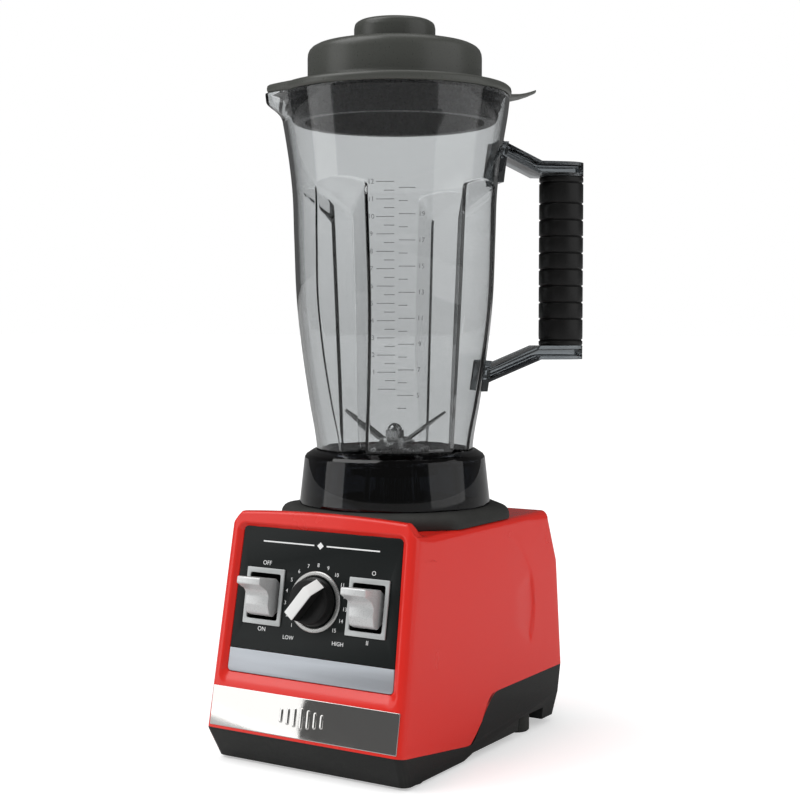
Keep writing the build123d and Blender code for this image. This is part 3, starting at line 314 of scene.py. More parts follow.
def clearFinish(name, colour, rough=0.02, paintedFootShade=1.0):
    # clear moulded plastic: a faint flow pattern in tint, roughness and bump, and painted shade: the tint
    # darkens towards the foot, below a given height
    material, tree, shader = newMaterial(name)
    spot = addNode(tree, "ShaderNodeTexCoord")
    flow = objectNoise(tree, effects["flowScale"], 2.0)
    tint = addNode(tree, "ShaderNodeValToRGB", {"Fac": flow})
    for element, at, share in zip(tint.color_ramp.elements, effects["noiseSpan"], (effects["flowTint"], 1.0)):
        element.position, element.color = at, (*[c * share for c in colour], 1)
    axes = addNode(tree, "ShaderNodeSeparateXYZ", {"Vector": spot.outputs["Object"]})
    # painted shade: the tint is darkened below a given height, towards the foot of the piece
    paintedShade = mapRange(tree, axes.outputs["Z"], *effects["paintedShadeSpan"], paintedFootShade, 1.0)
    shadedTint = addNode(tree, "ShaderNodeVectorMath", {0: tint.outputs["Color"], "Scale": paintedShade}, operation="SCALE")
    bumpNode = addNode(tree, "ShaderNodeBump", {"Height": flow, "Strength": effects["flowBump"],
                                                "Distance": effects["clearBump"]})
    setInputs(tree, shader, {
        "Base Color": shadedTint.outputs[0], "Roughness": mapRange(tree, flow, 0.0, 1.0, rough,
                                                             rough + effects["haze"]),
        "Normal": bumpNode.outputs["Normal"], "Transmission Weight": 1.0, "IOR": effects["clearIor"]})
    return material


print("tools ready")

# finishes

redGloss = solidFinish("redGloss", (0.72, 0.020, 0.012), rough=(0.2, 0.28), grain=(25.0, 900.0), bump=0.012,
                       worn=(0.82, 0.07, 0.045), wear=0.12, coat=0.15, coatRough=0.06, specular=0.42,
                       dust=0.006)
blackPlastic = solidFinish("blackPlastic", (0.012, 0.0125, 0.012), rough=(0.36, 0.5), grain=(1400.0, 5200.0),
                           bump=0.12, worn=(0.05, 0.05, 0.048), wear=0.4, specular=0.3, dust=0.01)
padRubber = solidFinish("padRubber", (0.021, 0.022, 0.020), rough=(0.55, 0.72), grain=(1100.0, 4200.0),
                        bump=0.1,
                        worn=(0.08, 0.08, 0.075), wear=0.4, dust=0.05, specular=0.35)
gripRubber = solidFinish("gripRubber", (0.005, 0.005, 0.005), rough=(0.3, 0.42), grain=(1500.0, 5000.0),
                         bump=0.08,
                         worn=(0.03, 0.03, 0.03), wear=0.3, specular=0.3, dust=0.01)
lidGrey = solidFinish("lidGrey", (0.062, 0.065, 0.058), rough=(0.26, 0.36), grain=(700.0, 4500.0), bump=0.05,
                      worn=(0.11, 0.11, 0.10), wear=0.3, dust=0.02, specular=0.45)
sealBlack = solidFinish("sealBlack", (0.003, 0.0035, 0.005), rough=(0.2, 0.32), grain=(500.0, 2600.0),
                        bump=0.03,
                        wear=0.05, dust=0.0, specular=0.25)
panelBlack = solidFinish("panelBlack", (0.008, 0.0105, 0.0105), rough=(0.34, 0.42), grain=(2600.0, 8000.0),
                         bump=0.05, wear=0.1, specular=0.22, dust=0.005)
labelSilver = solidFinish("labelSilver", (0.50, 0.53, 0.57), rough=(0.28, 0.42), bump=0.03, metallic=0.65,
                          brushed=(30.0, 4000.0, 4000.0), wear=0.1)
chromePolish = solidFinish("chromePolish", (0.80, 0.79, 0.77), rough=(0.03, 0.07), grain=(90.0, 2000.0),
                           bump=0.01,
                           metallic=1.0, wear=0.1, dust=0.01)
bezelGrey = solidFinish("bezelGrey", (0.50, 0.52, 0.52), rough=(0.3, 0.42), grain=(1600.0, 6000.0), bump=0.04,
                        metallic=0.2)
leverSilver = solidFinish("leverSilver", (0.66, 0.67, 0.67), rough=(0.24, 0.36), grain=(2200.0, 7000.0),
                          bump=0.03,
                          metallic=0.35, coat=0.2, worn=(0.75, 0.75, 0.75))
ringSilver = solidFinish("ringSilver", (0.60, 0.60, 0.59), rough=(0.22, 0.34), grain=(2000.0, 6000.0),
                         bump=0.03,
                         metallic=0.85)
knobBlack = solidFinish("knobBlack", (0.006, 0.006, 0.006), rough=(0.3, 0.42), grain=(1500.0, 6000.0),
                        bump=0.05,
                        worn=(0.04, 0.04, 0.04), wear=0.5, specular=0.3, dust=0.005)
knobWhite = solidFinish("knobWhite", (0.80, 0.80, 0.79), rough=(0.3, 0.4), grain=(2000.0, 6000.0), bump=0.03,
                        worn=(0.6, 0.6, 0.59))
inkWhite = solidFinish("inkWhite", (0.82, 0.83, 0.83), rough=(0.45, 0.55), grain=(3000.0, 9000.0), bump=0.02,
                       wear=0.0)
markGrey = solidFinish("markGrey", (0.55, 0.56, 0.56), rough=(0.5, 0.6), grain=(3000.0, 9000.0), bump=0.02,
                       wear=0.0)
jarMarkGrey = solidFinish("jarMarkGrey", (0.17, 0.175, 0.18), rough=(0.5, 0.6), grain=(3000.0, 9000.0),
                          bump=0.02,
                          wear=0.0)
groundSteel = solidFinish("groundSteel", (0.60, 0.60, 0.60), rough=(0.18, 0.32), bump=0.05, metallic=1.0,
                          brushed=(900.0, 900.0, 40.0))
bladeSteel = solidFinish("bladeSteel", (0.70, 0.70, 0.69), rough=(0.12, 0.25), bump=0.04, metallic=1.0,
                         brushed=(60.0, 1800.0, 1800.0))
zincSteel = solidFinish("zincSteel", (0.55, 0.56, 0.58), rough=(0.3, 0.45), grain=(900.0, 4000.0),
                        metallic=1.0)
copperWire = solidFinish("copperWire", (0.55, 0.20, 0.09), rough=(0.25, 0.4), bump=0.4, metallic=0.9,
                         brushed=(40.0, 40.0, 2600.0))
sheetStack = solidFinish("sheetStack", (0.20, 0.20, 0.21), rough=(0.35, 0.5), bump=0.35, metallic=0.9,
                         brushed=(20.0, 20.0, 2000.0))
castMetal = solidFinish("castMetal", (0.50, 0.50, 0.51), rough=(0.4, 0.55), grain=(600.0, 2500.0), bump=0.15,
                        metallic=1.0)
brassTurned = solidFinish("brassTurned", (0.62, 0.44, 0.18), rough=(0.2, 0.32), bump=0.06, metallic=1.0,
                          brushed=(500.0, 500.0, 60.0))
carbonBlock = solidFinish("carbonBlock", (0.03, 0.03, 0.032), rough=(0.45, 0.6), grain=(900.0, 3800.0),
                          bump=0.1)
boardGreen = solidFinish("boardGreen", (0.02, 0.14, 0.05), rough=(0.25, 0.4), grain=(500.0, 2000.0),
                         bump=0.05)
# the jar's lower part gets painted shade, darkened to 0.86 of its tint
jarClear = clearFinish("jarClear", (0.73, 0.745, 0.75), paintedFootShade=0.86)
collarSmoke = clearFinish("collarSmoke", (0.05, 0.055, 0.065), rough=0.03)
handleSmoke = clearFinish("handleSmoke", (0.16, 0.175, 0.185), rough=0.03)
print("finishes ready")

# the CAD nodes that keep their shape

keptFinishes = {
    "foot_screws": zincSteel, "case_screws": zincSteel, "switch_pins": zincSteel, "motor_bolts": zincSteel,
    "motor_mount_screws": zincSteel, "power_switch_body": blackPlastic, "pulse_switch_body": blackPlastic,
    "potentiometer": blackPlastic, "potentiometer_nut": brassTurned, "cord_gland": padRubber,
    "overload_breaker": blackPlastic, "control_board": boardGreen, "stator_core": sheetStack,
    "field_windings": copperWire, "upper_motor_bracket": castMetal, "lower_motor_bracket": castMetal,
    "carbon_brushes": carbonBlock, "motor_bearings": groundSteel, "motor_mounts": padRubber,
    "shaft_seal": padRubber,
    "motor_shaft": groundSteel, "armature_core": sheetStack, "armature_windings": copperWire,
    "commutator": copperWire, "cooling_fan": blackPlastic, "drive_coupling": groundSteel,
    "blade_gasket": sealBlack, "blade_bearing_housing": groundSteel, "blade_bearings": groundSteel,
    "jar_nut": blackPlastic, "blade_seal": sealBlack, "blade_shaft": groundSteel, "blade_washer": groundSteel,
    "drive_socket": groundSteel, "knob_shaft": brassTurned, "reset_button": knobBlack, "feet": padRubber,
}


def dressNode(name, material):
    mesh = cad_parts[name].data
    mesh.materials.clear()
    mesh.materials.append(material)


for nodeName, nodeFinish in keptFinishes.items():
    dressNode(nodeName, nodeFinish)


def copyOfNode(node, name, bevel=0.8, sharp=32.0, limit=30.0):
    # a welded copy of a CAD node with its flat triangles joined and a small bevel on its edges
    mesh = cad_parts[node].data.copy()
    mesh.name = name
    work = bmesh.new()
    work.from_mesh(mesh)
    bmesh.ops.remove_doubles(work, verts=work.verts, dist=1e-5)
    bmesh.ops.dissolve_limit(work, angle_limit=math.radians(1.5), verts=work.verts, edges=work.edges)
    crease = [e for e in work.edges if len(e.link_faces) == 2 and e.calc_face_angle(0) > math.radians(limit)]
    if bevel:
        bmesh.ops.bevel(work, geom=crease, offset=bevel * mm, segments=2, profile=0.6, affect="EDGES",
                        clamp_overlap=True, loop_slide=True)
    work.to_mesh(mesh)
    work.free()
    mesh.polygons.foreach_set("use_smooth", np.ones(len(mesh.polygons), dtype=bool))
    mesh.set_sharp_from_angle(angle=math.radians(sharp))
    return mesh


# jar

jar = dict(
    outline=[(55.0, 203.0), (56.0, 214.0), (60.8, 243.0), (66.0, 279.0), (69.6, 314.0), (71.3, 357.0),
             (72.6, 392.0), (74.4, 409.0), (77.2, 428.0), (80.0, 445.0), (81.4, 457.0)],
    wall=2.9, floorTop=207.0, valley=((46.8, 203.0), (55.5, 385.0)), spread=1.45,
    topSlant=((55.0, 373.0), (76.0, 399.0)), spoutAngle=225.0, spoutReach=10.8, spoutHalf=14.5,
    spoutDepth=18.0,
    boreRadius=17.4, edgeSoft=0.5, archSoft=2.4)


def smoothCurve(points, at):
    # a smooth radius for each height: a cubic through the outline with the slopes of its neighbours
    points = np.asarray(points, float)
    r, z = points[:, 0], points[:, 1]
    slope = np.gradient(r, z)
    i = np.clip(np.searchsorted(z, at) - 1, 0, len(z) - 2)
    h = z[i + 1] - z[i]
    t = (at - z[i]) / h
    return ((1 + 2 * t) * (1 - t) ** 2 * r[i] + t * (1 - t) ** 2 * h * slope[i]
            + t * t * (3 - 2 * t) * r[i + 1] + t * t * (t - 1) * h * slope[i + 1])


def softMin(a, b, k):
    # the smaller of two, rounded over a width k
    h = np.clip(0.5 + 0.5 * (b - a) / k, 0, 1)
    return b * (1 - h) + a * h - k * h * (1 - h)


def jarSurface(z, inset):
    # radius over angle at each height: the round wall, cut by four two-sided flutes with a slanted upper end
    z = np.asarray(z, float)
    wallRadius = smoothCurve(jar["outline"], z) - inset
    lean = math.hypot(1, jar["spread"]) / jar["spread"]
    (v0, y0), (v1, y1) = jar["valley"]
    valley = v0 + (v1 - v0) * (z - y0) / (y1 - y0) - inset * lean
    (t0, z0), (t1, z1) = jar["topSlant"]
    length = math.hypot(t1 - t0, z1 - z0)
    slant = t0 + (z - z0) * (t1 - t0) / (z1 - z0) - inset * length / (z1 - z0)
    # the flute's edge angle where its planes meet the wall
    tilt = math.atan(1 / jar["spread"])
    ratio = np.clip(jar["spread"] * valley / (wallRadius * math.hypot(1, jar["spread"])), -1, 1)
    edge = np.maximum(np.arccos(ratio) - tilt, math.radians(2))
    inFlute = np.concatenate([np.linspace(0, 0.9, 9), [0.94, 0.97, 1.0]])
    past = np.concatenate([[0.012, 0.03, 0.07], np.linspace(0.13, 1, 13)])
    half = np.concatenate([edge[:, None] * inFlute[None, :],
                           edge[:, None] + (math.pi / 4 - edge[:, None]) * past[None, :]], axis=1)
    quarter = np.concatenate([half[:, ::-1][:, :-1] * -1, half], axis=1)[:, 1:]
    cosine, sine = np.cos(quarter), np.abs(np.sin(quarter))
    plane = jar["spread"] * valley[:, None] / np.maximum(jar["spread"] * cosine - sine, 0.05)
    flute = -softMin(-plane, -slant[:, None] / cosine, jar["archSoft"])
    radius = softMin(wallRadius[:, None] * np.ones_like(plane), flute, jar["edgeSoft"])
    angles = np.concatenate([quarter + k * math.pi / 2 for k in range(4)], axis=1)
    radius = np.concatenate([radius] * 4, axis=1)
    # the spout: a beak that grows towards the rim
    away = (angles - math.radians(jar["spoutAngle"]) + math.pi) % turn - math.pi
    width = np.clip(1 - np.abs(away) / math.radians(jar["spoutHalf"]), 0, 1)
    rise = smoothstep((z - (jar["outline"][-1][1] - jar["spoutDepth"])) / (0.65 * jar["spoutDepth"]))[:, None]
    radius = radius + jar["spoutReach"] * rise * np.power(width, 1.15)
    return angles, radius


def ringPoints(angles, radius, heights):
    z = np.broadcast_to(np.asarray(heights, float)[:, None], radius.shape)
    return np.stack([radius * np.cos(angles), radius * np.sin(angles), z], axis=-1)


def makeJar():
    low, rim = jar["outline"][0][1], jar["outline"][-1][1]
    rise = np.concatenate([np.linspace(low, 214, 6), np.linspace(217, 368, 40), np.linspace(368.5, 400, 64),
                           np.linspace(402, 434, 9), np.linspace(436, rim - 1.2, 18)])
    outAngles, outRadius = jarSurface(rise, 0)
    outer = ringPoints(outAngles, outRadius, rise)
    fall = np.concatenate([[rim - 1.0], np.linspace(rim - 2, 436, 16), np.linspace(434, 402, 9),
                           np.linspace(400, 366, 64), np.linspace(363, 220, 36), np.linspace(217, 209.5, 5)])
    inAngles, inRadius = jarSurface(fall, jar["wall"])
    inner = ringPoints(inAngles, inRadius, fall)
    lip = [outer[-1] + (inner[0] - outer[-1]) * s + np.array([0, 0, h])
           for s, h in ((0.08, 0.9), (0.3, 1.2), (0.7, 1.2), (0.92, 0.9))]
    floor = []
    for share, drop in ((0.97, 1.3), (0.9, 2.2), (0.8, 2.5), (0.5, 2.5)):
        ring = inner[-1] * np.array([share, share, 1]) - np.array([0, 0, drop])
        floor.append(ring)
    bore = jar["boreRadius"]
    a = outAngles[0]
    circle = np.stack([bore * np.cos(a), bore * np.sin(a), np.full_like(a, jar["floorTop"])], axis=-1)
    under = circle - np.array([0, 0, jar["floorTop"] - low])
    inset = outer[0] * np.array([0.985, 0.985, 1])
    rings = np.concatenate([outer, np.array(lip), inner, np.array(floor), [circle], [under], [inset],
                            [outer[0]]])
    mesh = tidyMesh(gridMesh("jarBody", [(rings, True)]), sharp=38)
    return addPiece("jarBody", mesh, jarClear, "jar", ["jar_body"])


makeJar()
print("jar ready")

# placement on the control panel

lean = math.radians(10.1)
frontFoot, panelDrop = -122.2, 2.5
panelMatrix = Matrix(((1, 0, 0, 0), (0, math.sin(lean), -math.cos(lean),
                                     frontFoot + panelDrop / math.cos(lean)),
                      (0, math.cos(lean), math.sin(lean), 0), (0, 0, 0, 1)))


def onPanel(x, s, depth=0.0, turned=0.0):
    return panelMatrix @ Matrix.Translation((x, s, depth)) @ Matrix.Rotation(math.radians(turned), 4, "Z")


def sideways(x, s, depth=0.0):
    # for outlines drawn as (outwards, up the panel) and carried across it
    return onPanel(x, s, depth) @ Matrix(((0, 0, -1, 0), (0, 1, 0, 0), (1, 0, 0, 0), (0, 0, 0, 1)))


def flatMesh(name, loops, low, high, edge=0.3, place=None, steps=2):
    # a plate between two heights with holes and rounded edges, filled by a flat curve
    curve = bpy.data.curves.new(name, "CURVE")
    curve.dimensions, curve.fill_mode = "2D", "BOTH"
    curve.extrude, curve.bevel_depth = (high - low) / 2 - edge, edge
    curve.bevel_resolution, curve.offset = steps, -edge
    for loop in loops:
        spline = curve.splines.new("POLY")
        spline.points.add(len(loop) - 1)
        spline.points.foreach_set("co", np.column_stack([loop, np.zeros(len(loop)),
                                                         np.ones(len(loop))]).ravel())
        spline.use_cyclic_u = True
    return meshFromCurve(curve, place, (low + high) / 2)


def meshFromCurve(curve, place, height=0.0):
    holder = bpy.data.objects.new(curve.name, curve)
    mesh = bpy.data.meshes.new_from_object(holder)
    bpy.data.objects.remove(holder)
    bpy.data.curves.remove(curve)
    mesh.transform(Matrix.Translation((0, 0, height)))
    if place is not None:
        mesh.transform(place)
    mesh.transform(Matrix.Scale(mm, 4))
    return mesh


def rectangle(width, height, radius=1.0, x=0.0, y=0.0, steps=4):
    w, h = width / 2, height / 2
    return roundLoop([(x - w, y - h), (x + w, y - h), (x + w, y + h), (x - w, y + h)], radius, steps)


# housing

housing = dict(
    seam=[(-140.0, 23.5), (-118.0, 23.5), (-24.0, 11.0), (-5.0, 36.0), (2.0, 41.5), (130.0, 41.5)],
    seamSoft=[0, 0, 5, 12, 12, 0], wall=2.8,
    corner=6.0, deck=159.0, crest=171.0, arch=2.2, cornerCut=8.5, crestFlat=(-86.7, -75.5), hole=14.0,
    rollFront=2.4, rollSide=4.0, rollRear=7.0, panel=(62.6, 161.6, 66.6, 64.0, 3.2), bevelSide=3.7,
    bevelTop=2.6,
    bevelLow=9.5, plateDepth=2.3, windowShare=0.81, scoopCentre=(15.3, 95.7), scoopRadius=54.6,
    scoopDepth=1.5, scoopFade=34.0, rowCounts=(8, 18, 7, 26))


def halfWidth(z):
    return np.interp(z, [2.0, 22.4, 160.3, 175.0], [76.5, 79.0, 75.0, 74.6])


def frontLine(z):
    return frontFoot + z * math.tan(lean)


def rearLine(z):
    return np.interp(z, [5.0, 41.5, 120.0, 154.0, 175.0], [104.0, 115.0, 111.0, 98.0, 90.0])


def crestHeight(x, y):
    # how far the raised front edge stands over the deck: an arch with slanted ends, sloping down to the rear
    a = np.abs(x)
    end = 75.0 - housing["cornerCut"]
    arch = housing["crest"] - housing["deck"] - housing["arch"] * (a / end) ** 2
    slant = housing["crest"] - housing["deck"] - housing["arch"] - (a - end)
    start, stop = housing["crestFlat"]
    return np.maximum(np.minimum(arch, np.where(a > end, slant, arch)),
                      0) * (1 - smoothstep((y - start) / (stop - start)))


def makeOutline():
    # columns round the base: (flat x share, flat y share, corner x, corner y, normal x, normal y)
    front = np.unique(np.concatenate([np.linspace(-0.88, 0.88, 41), np.linspace(0.89, 1.0, 11),
                                      -np.linspace(0.89, 1.0, 11), [-0.81, 0.81]]))
    side = np.concatenate([np.linspace(-1, 0.2, 26), np.linspace(0.23, 0.78, 46), np.linspace(0.82, 1, 6)])
    arc = np.linspace(0, math.pi / 2, 8)[1:-1]
    rows = [np.column_stack([front, -np.ones_like(front), 0 * front, -np.ones_like(front)])]
    corner = np.column_stack([np.ones_like(arc), -np.ones_like(arc), np.sin(arc), -np.cos(arc)])
    rows += [corner, np.column_stack([np.ones_like(side), side, np.ones_like(side), 0 * side])]
    rows += [np.column_stack([np.ones_like(arc), np.ones_like(arc), np.cos(arc), np.sin(arc)])]
    back = np.linspace(1, -1, 40)
    rows += [np.column_stack([back, np.ones_like(back), 0 * back, np.ones_like(back)])]
    rows += [np.column_stack([-np.ones_like(arc), np.ones_like(arc), -np.sin(arc), np.cos(arc)])]
    rows += [np.column_stack([-np.ones_like(side), side[::-1], -np.ones_like(side), 0 * side])]
    rows += [np.column_stack([-np.ones_like(arc), -np.ones_like(arc), -np.cos(arc), -np.sin(arc)])]
    return np.concatenate(rows)


def outlineAt(columns, z, inset):
    # the rounded rectangle at each height; z has one value per point
    r = housing["corner"]
    half, front, rear = halfWidth(z), frontLine(z), rearLine(z)
    middle, reach = (front + rear) / 2, (rear - front) / 2
    x = columns[:, 0] * (half - r) + columns[:, 2] * (r - inset)
    y = middle + columns[:, 1] * (reach - r) + columns[:, 3] * (r - inset)
    return x, y


def panelDistance(x, s):
    # signed distance to the rounded outline of the panel, and the direction to it
    s0, s1, low, high, corner = housing["panel"]
    half = low + (high - low) * (s - s0) / (s1 - s0) - corner
    qx, qy = np.abs(x) - half, np.abs(s - (s0 + s1) / 2) - ((s1 - s0) / 2 - corner)
    ox, oy = np.maximum(qx, 0), np.maximum(qy, 0)
    length = np.maximum(np.hypot(ox, oy), 1e-6)
    return length + np.minimum(np.maximum(qx, qy), 0) - corner, ox / length, oy / length


def recessDepth(x, s):
    # slanted surround down to the panel, wider below it, then a step for the plate
    distance, nx, ny = panelDistance(x, s)
    below = s < (housing["panel"][0] + housing["panel"][1]) / 2
    across = np.where(below, housing["bevelLow"], housing["bevelTop"])
    width = np.hypot(nx * housing["bevelSide"], ny * across)
    t = np.clip((distance - 0.3) / width, 0, 1)
    slope = np.where(below & (ny > 0.5), (1 - t) ** 1.7, 1 - t)
    ramp = panelDrop * (0.65 * slope + 0.35 * (1 - smoothstep(t)))
    return np.where(distance < 0.3, panelDrop + housing["plateDepth"] * smoothstep((0.3 - distance) / 0.7),
                    ramp)


def housingGrid(columns, inset):
    count = len(columns)
    seam = roundPath(housing["seam"], housing["seamSoft"], 6)
    bottom = np.interp(outlineAt(columns, np.full(count, 25.0), 0)[1], *seam.T)
    top = np.full(count, housing["deck"])
    x, y = outlineAt(columns, top, 0)
    for _ in range(3):
        x, y = outlineAt(columns, housing["deck"] + crestHeight(x, y), 0)
    top = housing["deck"] + crestHeight(x, y) - inset
    roll = np.interp(y, [-92, -84, -70, 60, 90],
                     [housing["rollFront"], 3.0, housing["rollSide"], housing["rollSide"],
                                                  housing["rollRear"]])
    roll = np.maximum(roll - inset, 0.8)
    edge = top - roll
    # rows: up to the panel's foot, its slanted surround, up to the window, across the window, then up to the
    # roll
    n0, n1, n2, n3 = housing["rowCounts"]
    low = np.linspace(0, 1, n0 + 1)[:-1]
    fixed = np.concatenate([np.linspace(49, 64, n1), np.linspace(66, 80.5, n2), [82.7],
                            np.linspace(85, 137, n3),
                            [139.5]])
    rise = np.concatenate([[0.1455, 0.25, 0.35, 0.45, 0.53], np.linspace(0.59, 0.84, 13), [0.9, 0.95, 1.0]])
    heights = np.concatenate([bottom + (49 - bottom) * low[:, None], np.repeat(fixed[:, None], count, 1),
                              139.5 + (edge - 139.5) * rise[:, None]])
    heights[len(low) + len(fixed)] = np.where(edge > 155, 143.7, heights[len(low) + len(fixed)])
    grid = []
    for z in heights:
        x, y = outlineAt(columns, z, inset)
        s = z / math.cos(lean)
        onFront = (columns[:, 3] == -1) & (columns[:, 2] == 0)
        depth = np.where(onFront, recessDepth(x, s), 0)
        y = y + depth * math.cos(lean)
        zz = z - depth * math.sin(lean)
        dy, dz = y - housing["scoopCentre"][0], z - housing["scoopCentre"][1]
        inside = housing["scoopRadius"] - np.hypot(dy, dz)
        angle = np.degrees(np.arctan2(dz, dy))
        window = smoothstep((angle + 36) / 16) * (1 - 0.75 * smoothstep((angle - 12) / 14)) * (
            1 - smoothstep((angle - 35) / 40))
        scoop = housing["scoopDepth"] * smoothstep(inside / 1.8) * (1
                                                                    - smoothstep(inside / housing["scoopFade"]))
        x = x - np.sign(x) * np.where(np.abs(columns[:, 2]) > 0.99, scoop * window, 0)
        grid.append(np.column_stack([x, y, zz]))
    # the roll's reach stays under the corner radius, so that the corner never folds over
    x0, y0 = outlineAt(columns, edge, inset)
    reach = np.minimum(roll, housing["corner"] - inset - 0.6)
    for a in np.linspace(0, math.pi / 2, 7)[1:]:
        x, y = x0 - columns[:, 2] * reach * (1 - math.cos(a)), y0 - columns[:, 3] * reach * (1 - math.cos(a))
        grid.append(np.column_stack([x, y, edge + roll * math.sin(a)]))
    angle = np.arctan2(y, x)
    cx, cy = housing["hole"] * np.cos(angle), housing["hole"] * np.sin(angle)
    for t in [0.02, 0.04, 0.06, 0.08, 0.1, 0.12, 0.14, 0.16, 0.19, 0.22, 0.26, 0.32, 0.45, 0.7, 1.0]:
        px, py = x + (cx - x) * t, y + (cy - y) * t
        own = housing["deck"] - inset + crestHeight(px, py)
        start = housing["deck"] - inset + crestHeight(x, y)
        grid.append(np.column_stack([px, py, own + (top - start) * (1 - smoothstep(t / 0.05))]))
    return np.array(grid)


def makeHousing():
    columns = makeOutline()
    outer, inner = housingGrid(columns, 0), housingGrid(columns, housing["wall"])
    rows, count = outer.shape[:2]
    share = housing["windowShare"]
    front = np.flatnonzero((columns[:, 3] == -1) & (columns[:, 2] == 0))
    c0 = front[np.argmin(np.abs(columns[front, 0] + share))]
    c1 = front[np.argmin(np.abs(columns[front, 0] - share))]
    r0 = sum(housing["rowCounts"][:3])
    r1 = r0 + housing["rowCounts"][3] + 2
    faces = ringFaces(rows, count)
    rowIndex, colIndex = np.divmod(np.arange(len(faces)), count)
    keep = ~((rowIndex >= r0) & (rowIndex < r1) & (colIndex >= c0) & (colIndex < c1))
    faces = faces[keep]
    shift = rows * count
    i = np.arange(count)
    j = (i + 1) % count

    def bridge(a, b):
        return np.stack([a, b, b + shift, a + shift], axis=-1)

    c, r = np.arange(c0, c1), np.arange(r0, r1)
    extra = [bridge(i, j), bridge((rows - 1) * count + j, (rows - 1) * count + i),
             bridge(r0 * count + c, r0 * count + c + 1), bridge(r1 * count + c, r1 * count + c + 1),
             bridge(r * count + c0, (r + 1) * count + c0), bridge(r * count + c1, (r + 1) * count + c1)]
    faces = np.concatenate([faces, faces[:, ::-1] + shift] + extra)
    points = np.concatenate([outer.reshape(-1, 3), inner.reshape(-1, 3)]) * mm
    mesh = bpy.data.meshes.new("housingShell")
    mesh.from_pydata(points.tolist(), [], faces.tolist())
    return addPiece("housingShell", tidyMesh(mesh, sharp=38), redGloss, "base", ["housing"])


makeHousing()
addPiece("baseTray", copyOfNode("base_tray", "baseTray", 0.9, 35, 35), blackPlastic, "base",
         ["base_tray"])
print("housing ready")

# control panel

panel = dict(split=(78.3, 78.5), plate=0.25, controls=115.0, switchX=41.8,
             bezel=(31.0, 38.0), window=(25.5, 31.0), hole=(29.4, 34.9))


def panelOutline(s0, s1, arch=0.0, radii=(0.2, 0.2)):
    low, high, half0, half1 = housing["panel"][:4]
    w0, w1 = (half0 + (half1 - half0) * (s - low) / (high - low) for s in (s0, s1))
    x = np.linspace(1, -1, 25) * w1
    top = np.column_stack([x, s1 - arch * (x / w1) ** 2])
    points = np.vstack([[(-w0, s0), (w0, s0)], top])
    return roundLoop(points, [radii[0], radii[0], radii[1]] + [0] * 23 + [radii[1]], 6)


def makePanel():
    low, high = housing["panel"][:2]
    holes = [rectangle(*panel["hole"], 0.8, x, panel["controls"])[::-1]
             for x in (-panel["switchX"], panel["switchX"])]
    circle = np.linspace(0, turn, 32, endpoint=False)
    centre = np.column_stack([4.7 * np.cos(circle), panel["controls"] + 4.7 * np.sin(circle)])[::-1]
    plate = flatMesh("panelPlate", [panelOutline(panel["split"][1], high, 0.0, (0.2, 3.2)), *holes, centre],
                     -2.0, 0.0,
                     panel["plate"], panelMatrix)
    addPiece("panelPlate", tidyMesh(plate, flip=False), panelBlack, "base", ["control_panel"])
    label = flatMesh("labelPlate", [panelOutline(low, panel["split"][0], 0.0, (3.2, 0.2))], -2.0, 0.05,
                     panel["plate"], panelMatrix)
    addPiece("labelPlate", tidyMesh(label, flip=False), labelSilver, "base", ["label_plate"])


makePanel()


strip = dict(width=149.6, height=26.6, middle=38.6, low=1.6, high=2.8, barWidth=2.6, barPitch=5.4,
             tallest=14.0,
             barStep=1.6, barHigh=3.3)


def makeTrimStrip():
    # the strip with seven plain raised bars, tallest in the middle
    middle = strip["middle"]
    plate = flatMesh("trimStrip", [rectangle(strip["width"], strip["height"], 0.5, 0, middle)], strip["low"],
                     strip["high"], 0.25, panelMatrix)
    bars = [flatMesh("bar", [rectangle(strip["barWidth"], strip["tallest"] - strip["barStep"] * abs(k), 1.2,
                                       k * strip["barPitch"], middle)], 2.5, strip["barHigh"], 0.35,
                                       panelMatrix)
            for k in range(-3, 4)]
    mesh = joinMeshes("trimStrip", [plate, *bars])
    addPiece("trimStrip", tidyMesh(mesh, flip=False), chromePolish, "base", ["trim_strip"])


makeTrimStrip()


def makeBezel(name, node, x):
    loops = [rectangle(*panel["bezel"], 0.7, x, panel["controls"]),
             rectangle(*panel["window"], 1.6, x, panel["controls"])[::-1]]
    bezel = flatMesh(name, loops, 0.0, 1.2, 0.22, panelMatrix)
    addPiece(name, tidyMesh(bezel, flip=False), bezelGrey, "base", [node])


makeBezel("powerBezel", "power_switch_bezel", -panel["switchX"])
makeBezel("pulseBezel", "pulse_switch_bezel", panel["switchX"])

lever = dict(width=19.0, hubRadius=6.3, pivot=6.0, outline=[
    (-6.0, -8.0), (0.8, -13.2), (5.8, -11.8), (8.2, -6.0), (8.2, 0.6), (11.2, 4.2), (20.0, 7.6), (20.0, 12.4),
    (1.0, 12.4), (-6.0, 8.0)], radii=[1, 1.5, 3, 4, 3, 5, 1.3, 1.3, 1, 1])


def makeLever(name, node, body, x):
    outline = roundLoop(lever["outline"], lever["radii"], 6)
    half = lever["width"] / 2
    paddle = flatMesh(name, [outline], -half, half, 0.6, sideways(x, panel["controls"]), 3)
    a = np.linspace(0, turn, 32, endpoint=False)
    hub = flatMesh(name, [np.column_stack([lever["hubRadius"] * np.cos(a) - lever["pivot"],
                                           lever["hubRadius"] * np.sin(a)])], -half + 0.4, half - 0.4, 0.4,
                   sideways(x, panel["controls"]))
    mesh = joinMeshes(name, [paddle, hub])
    addPiece(name, tidyMesh(mesh, flip=False, sharp=42), leverSilver, body, [node])


makeLever("powerLever", "power_switch_lever", "power_lever", -panel["switchX"])
makeLever("pulseLever", "pulse_switch_lever", "pulse_lever", panel["switchX"])

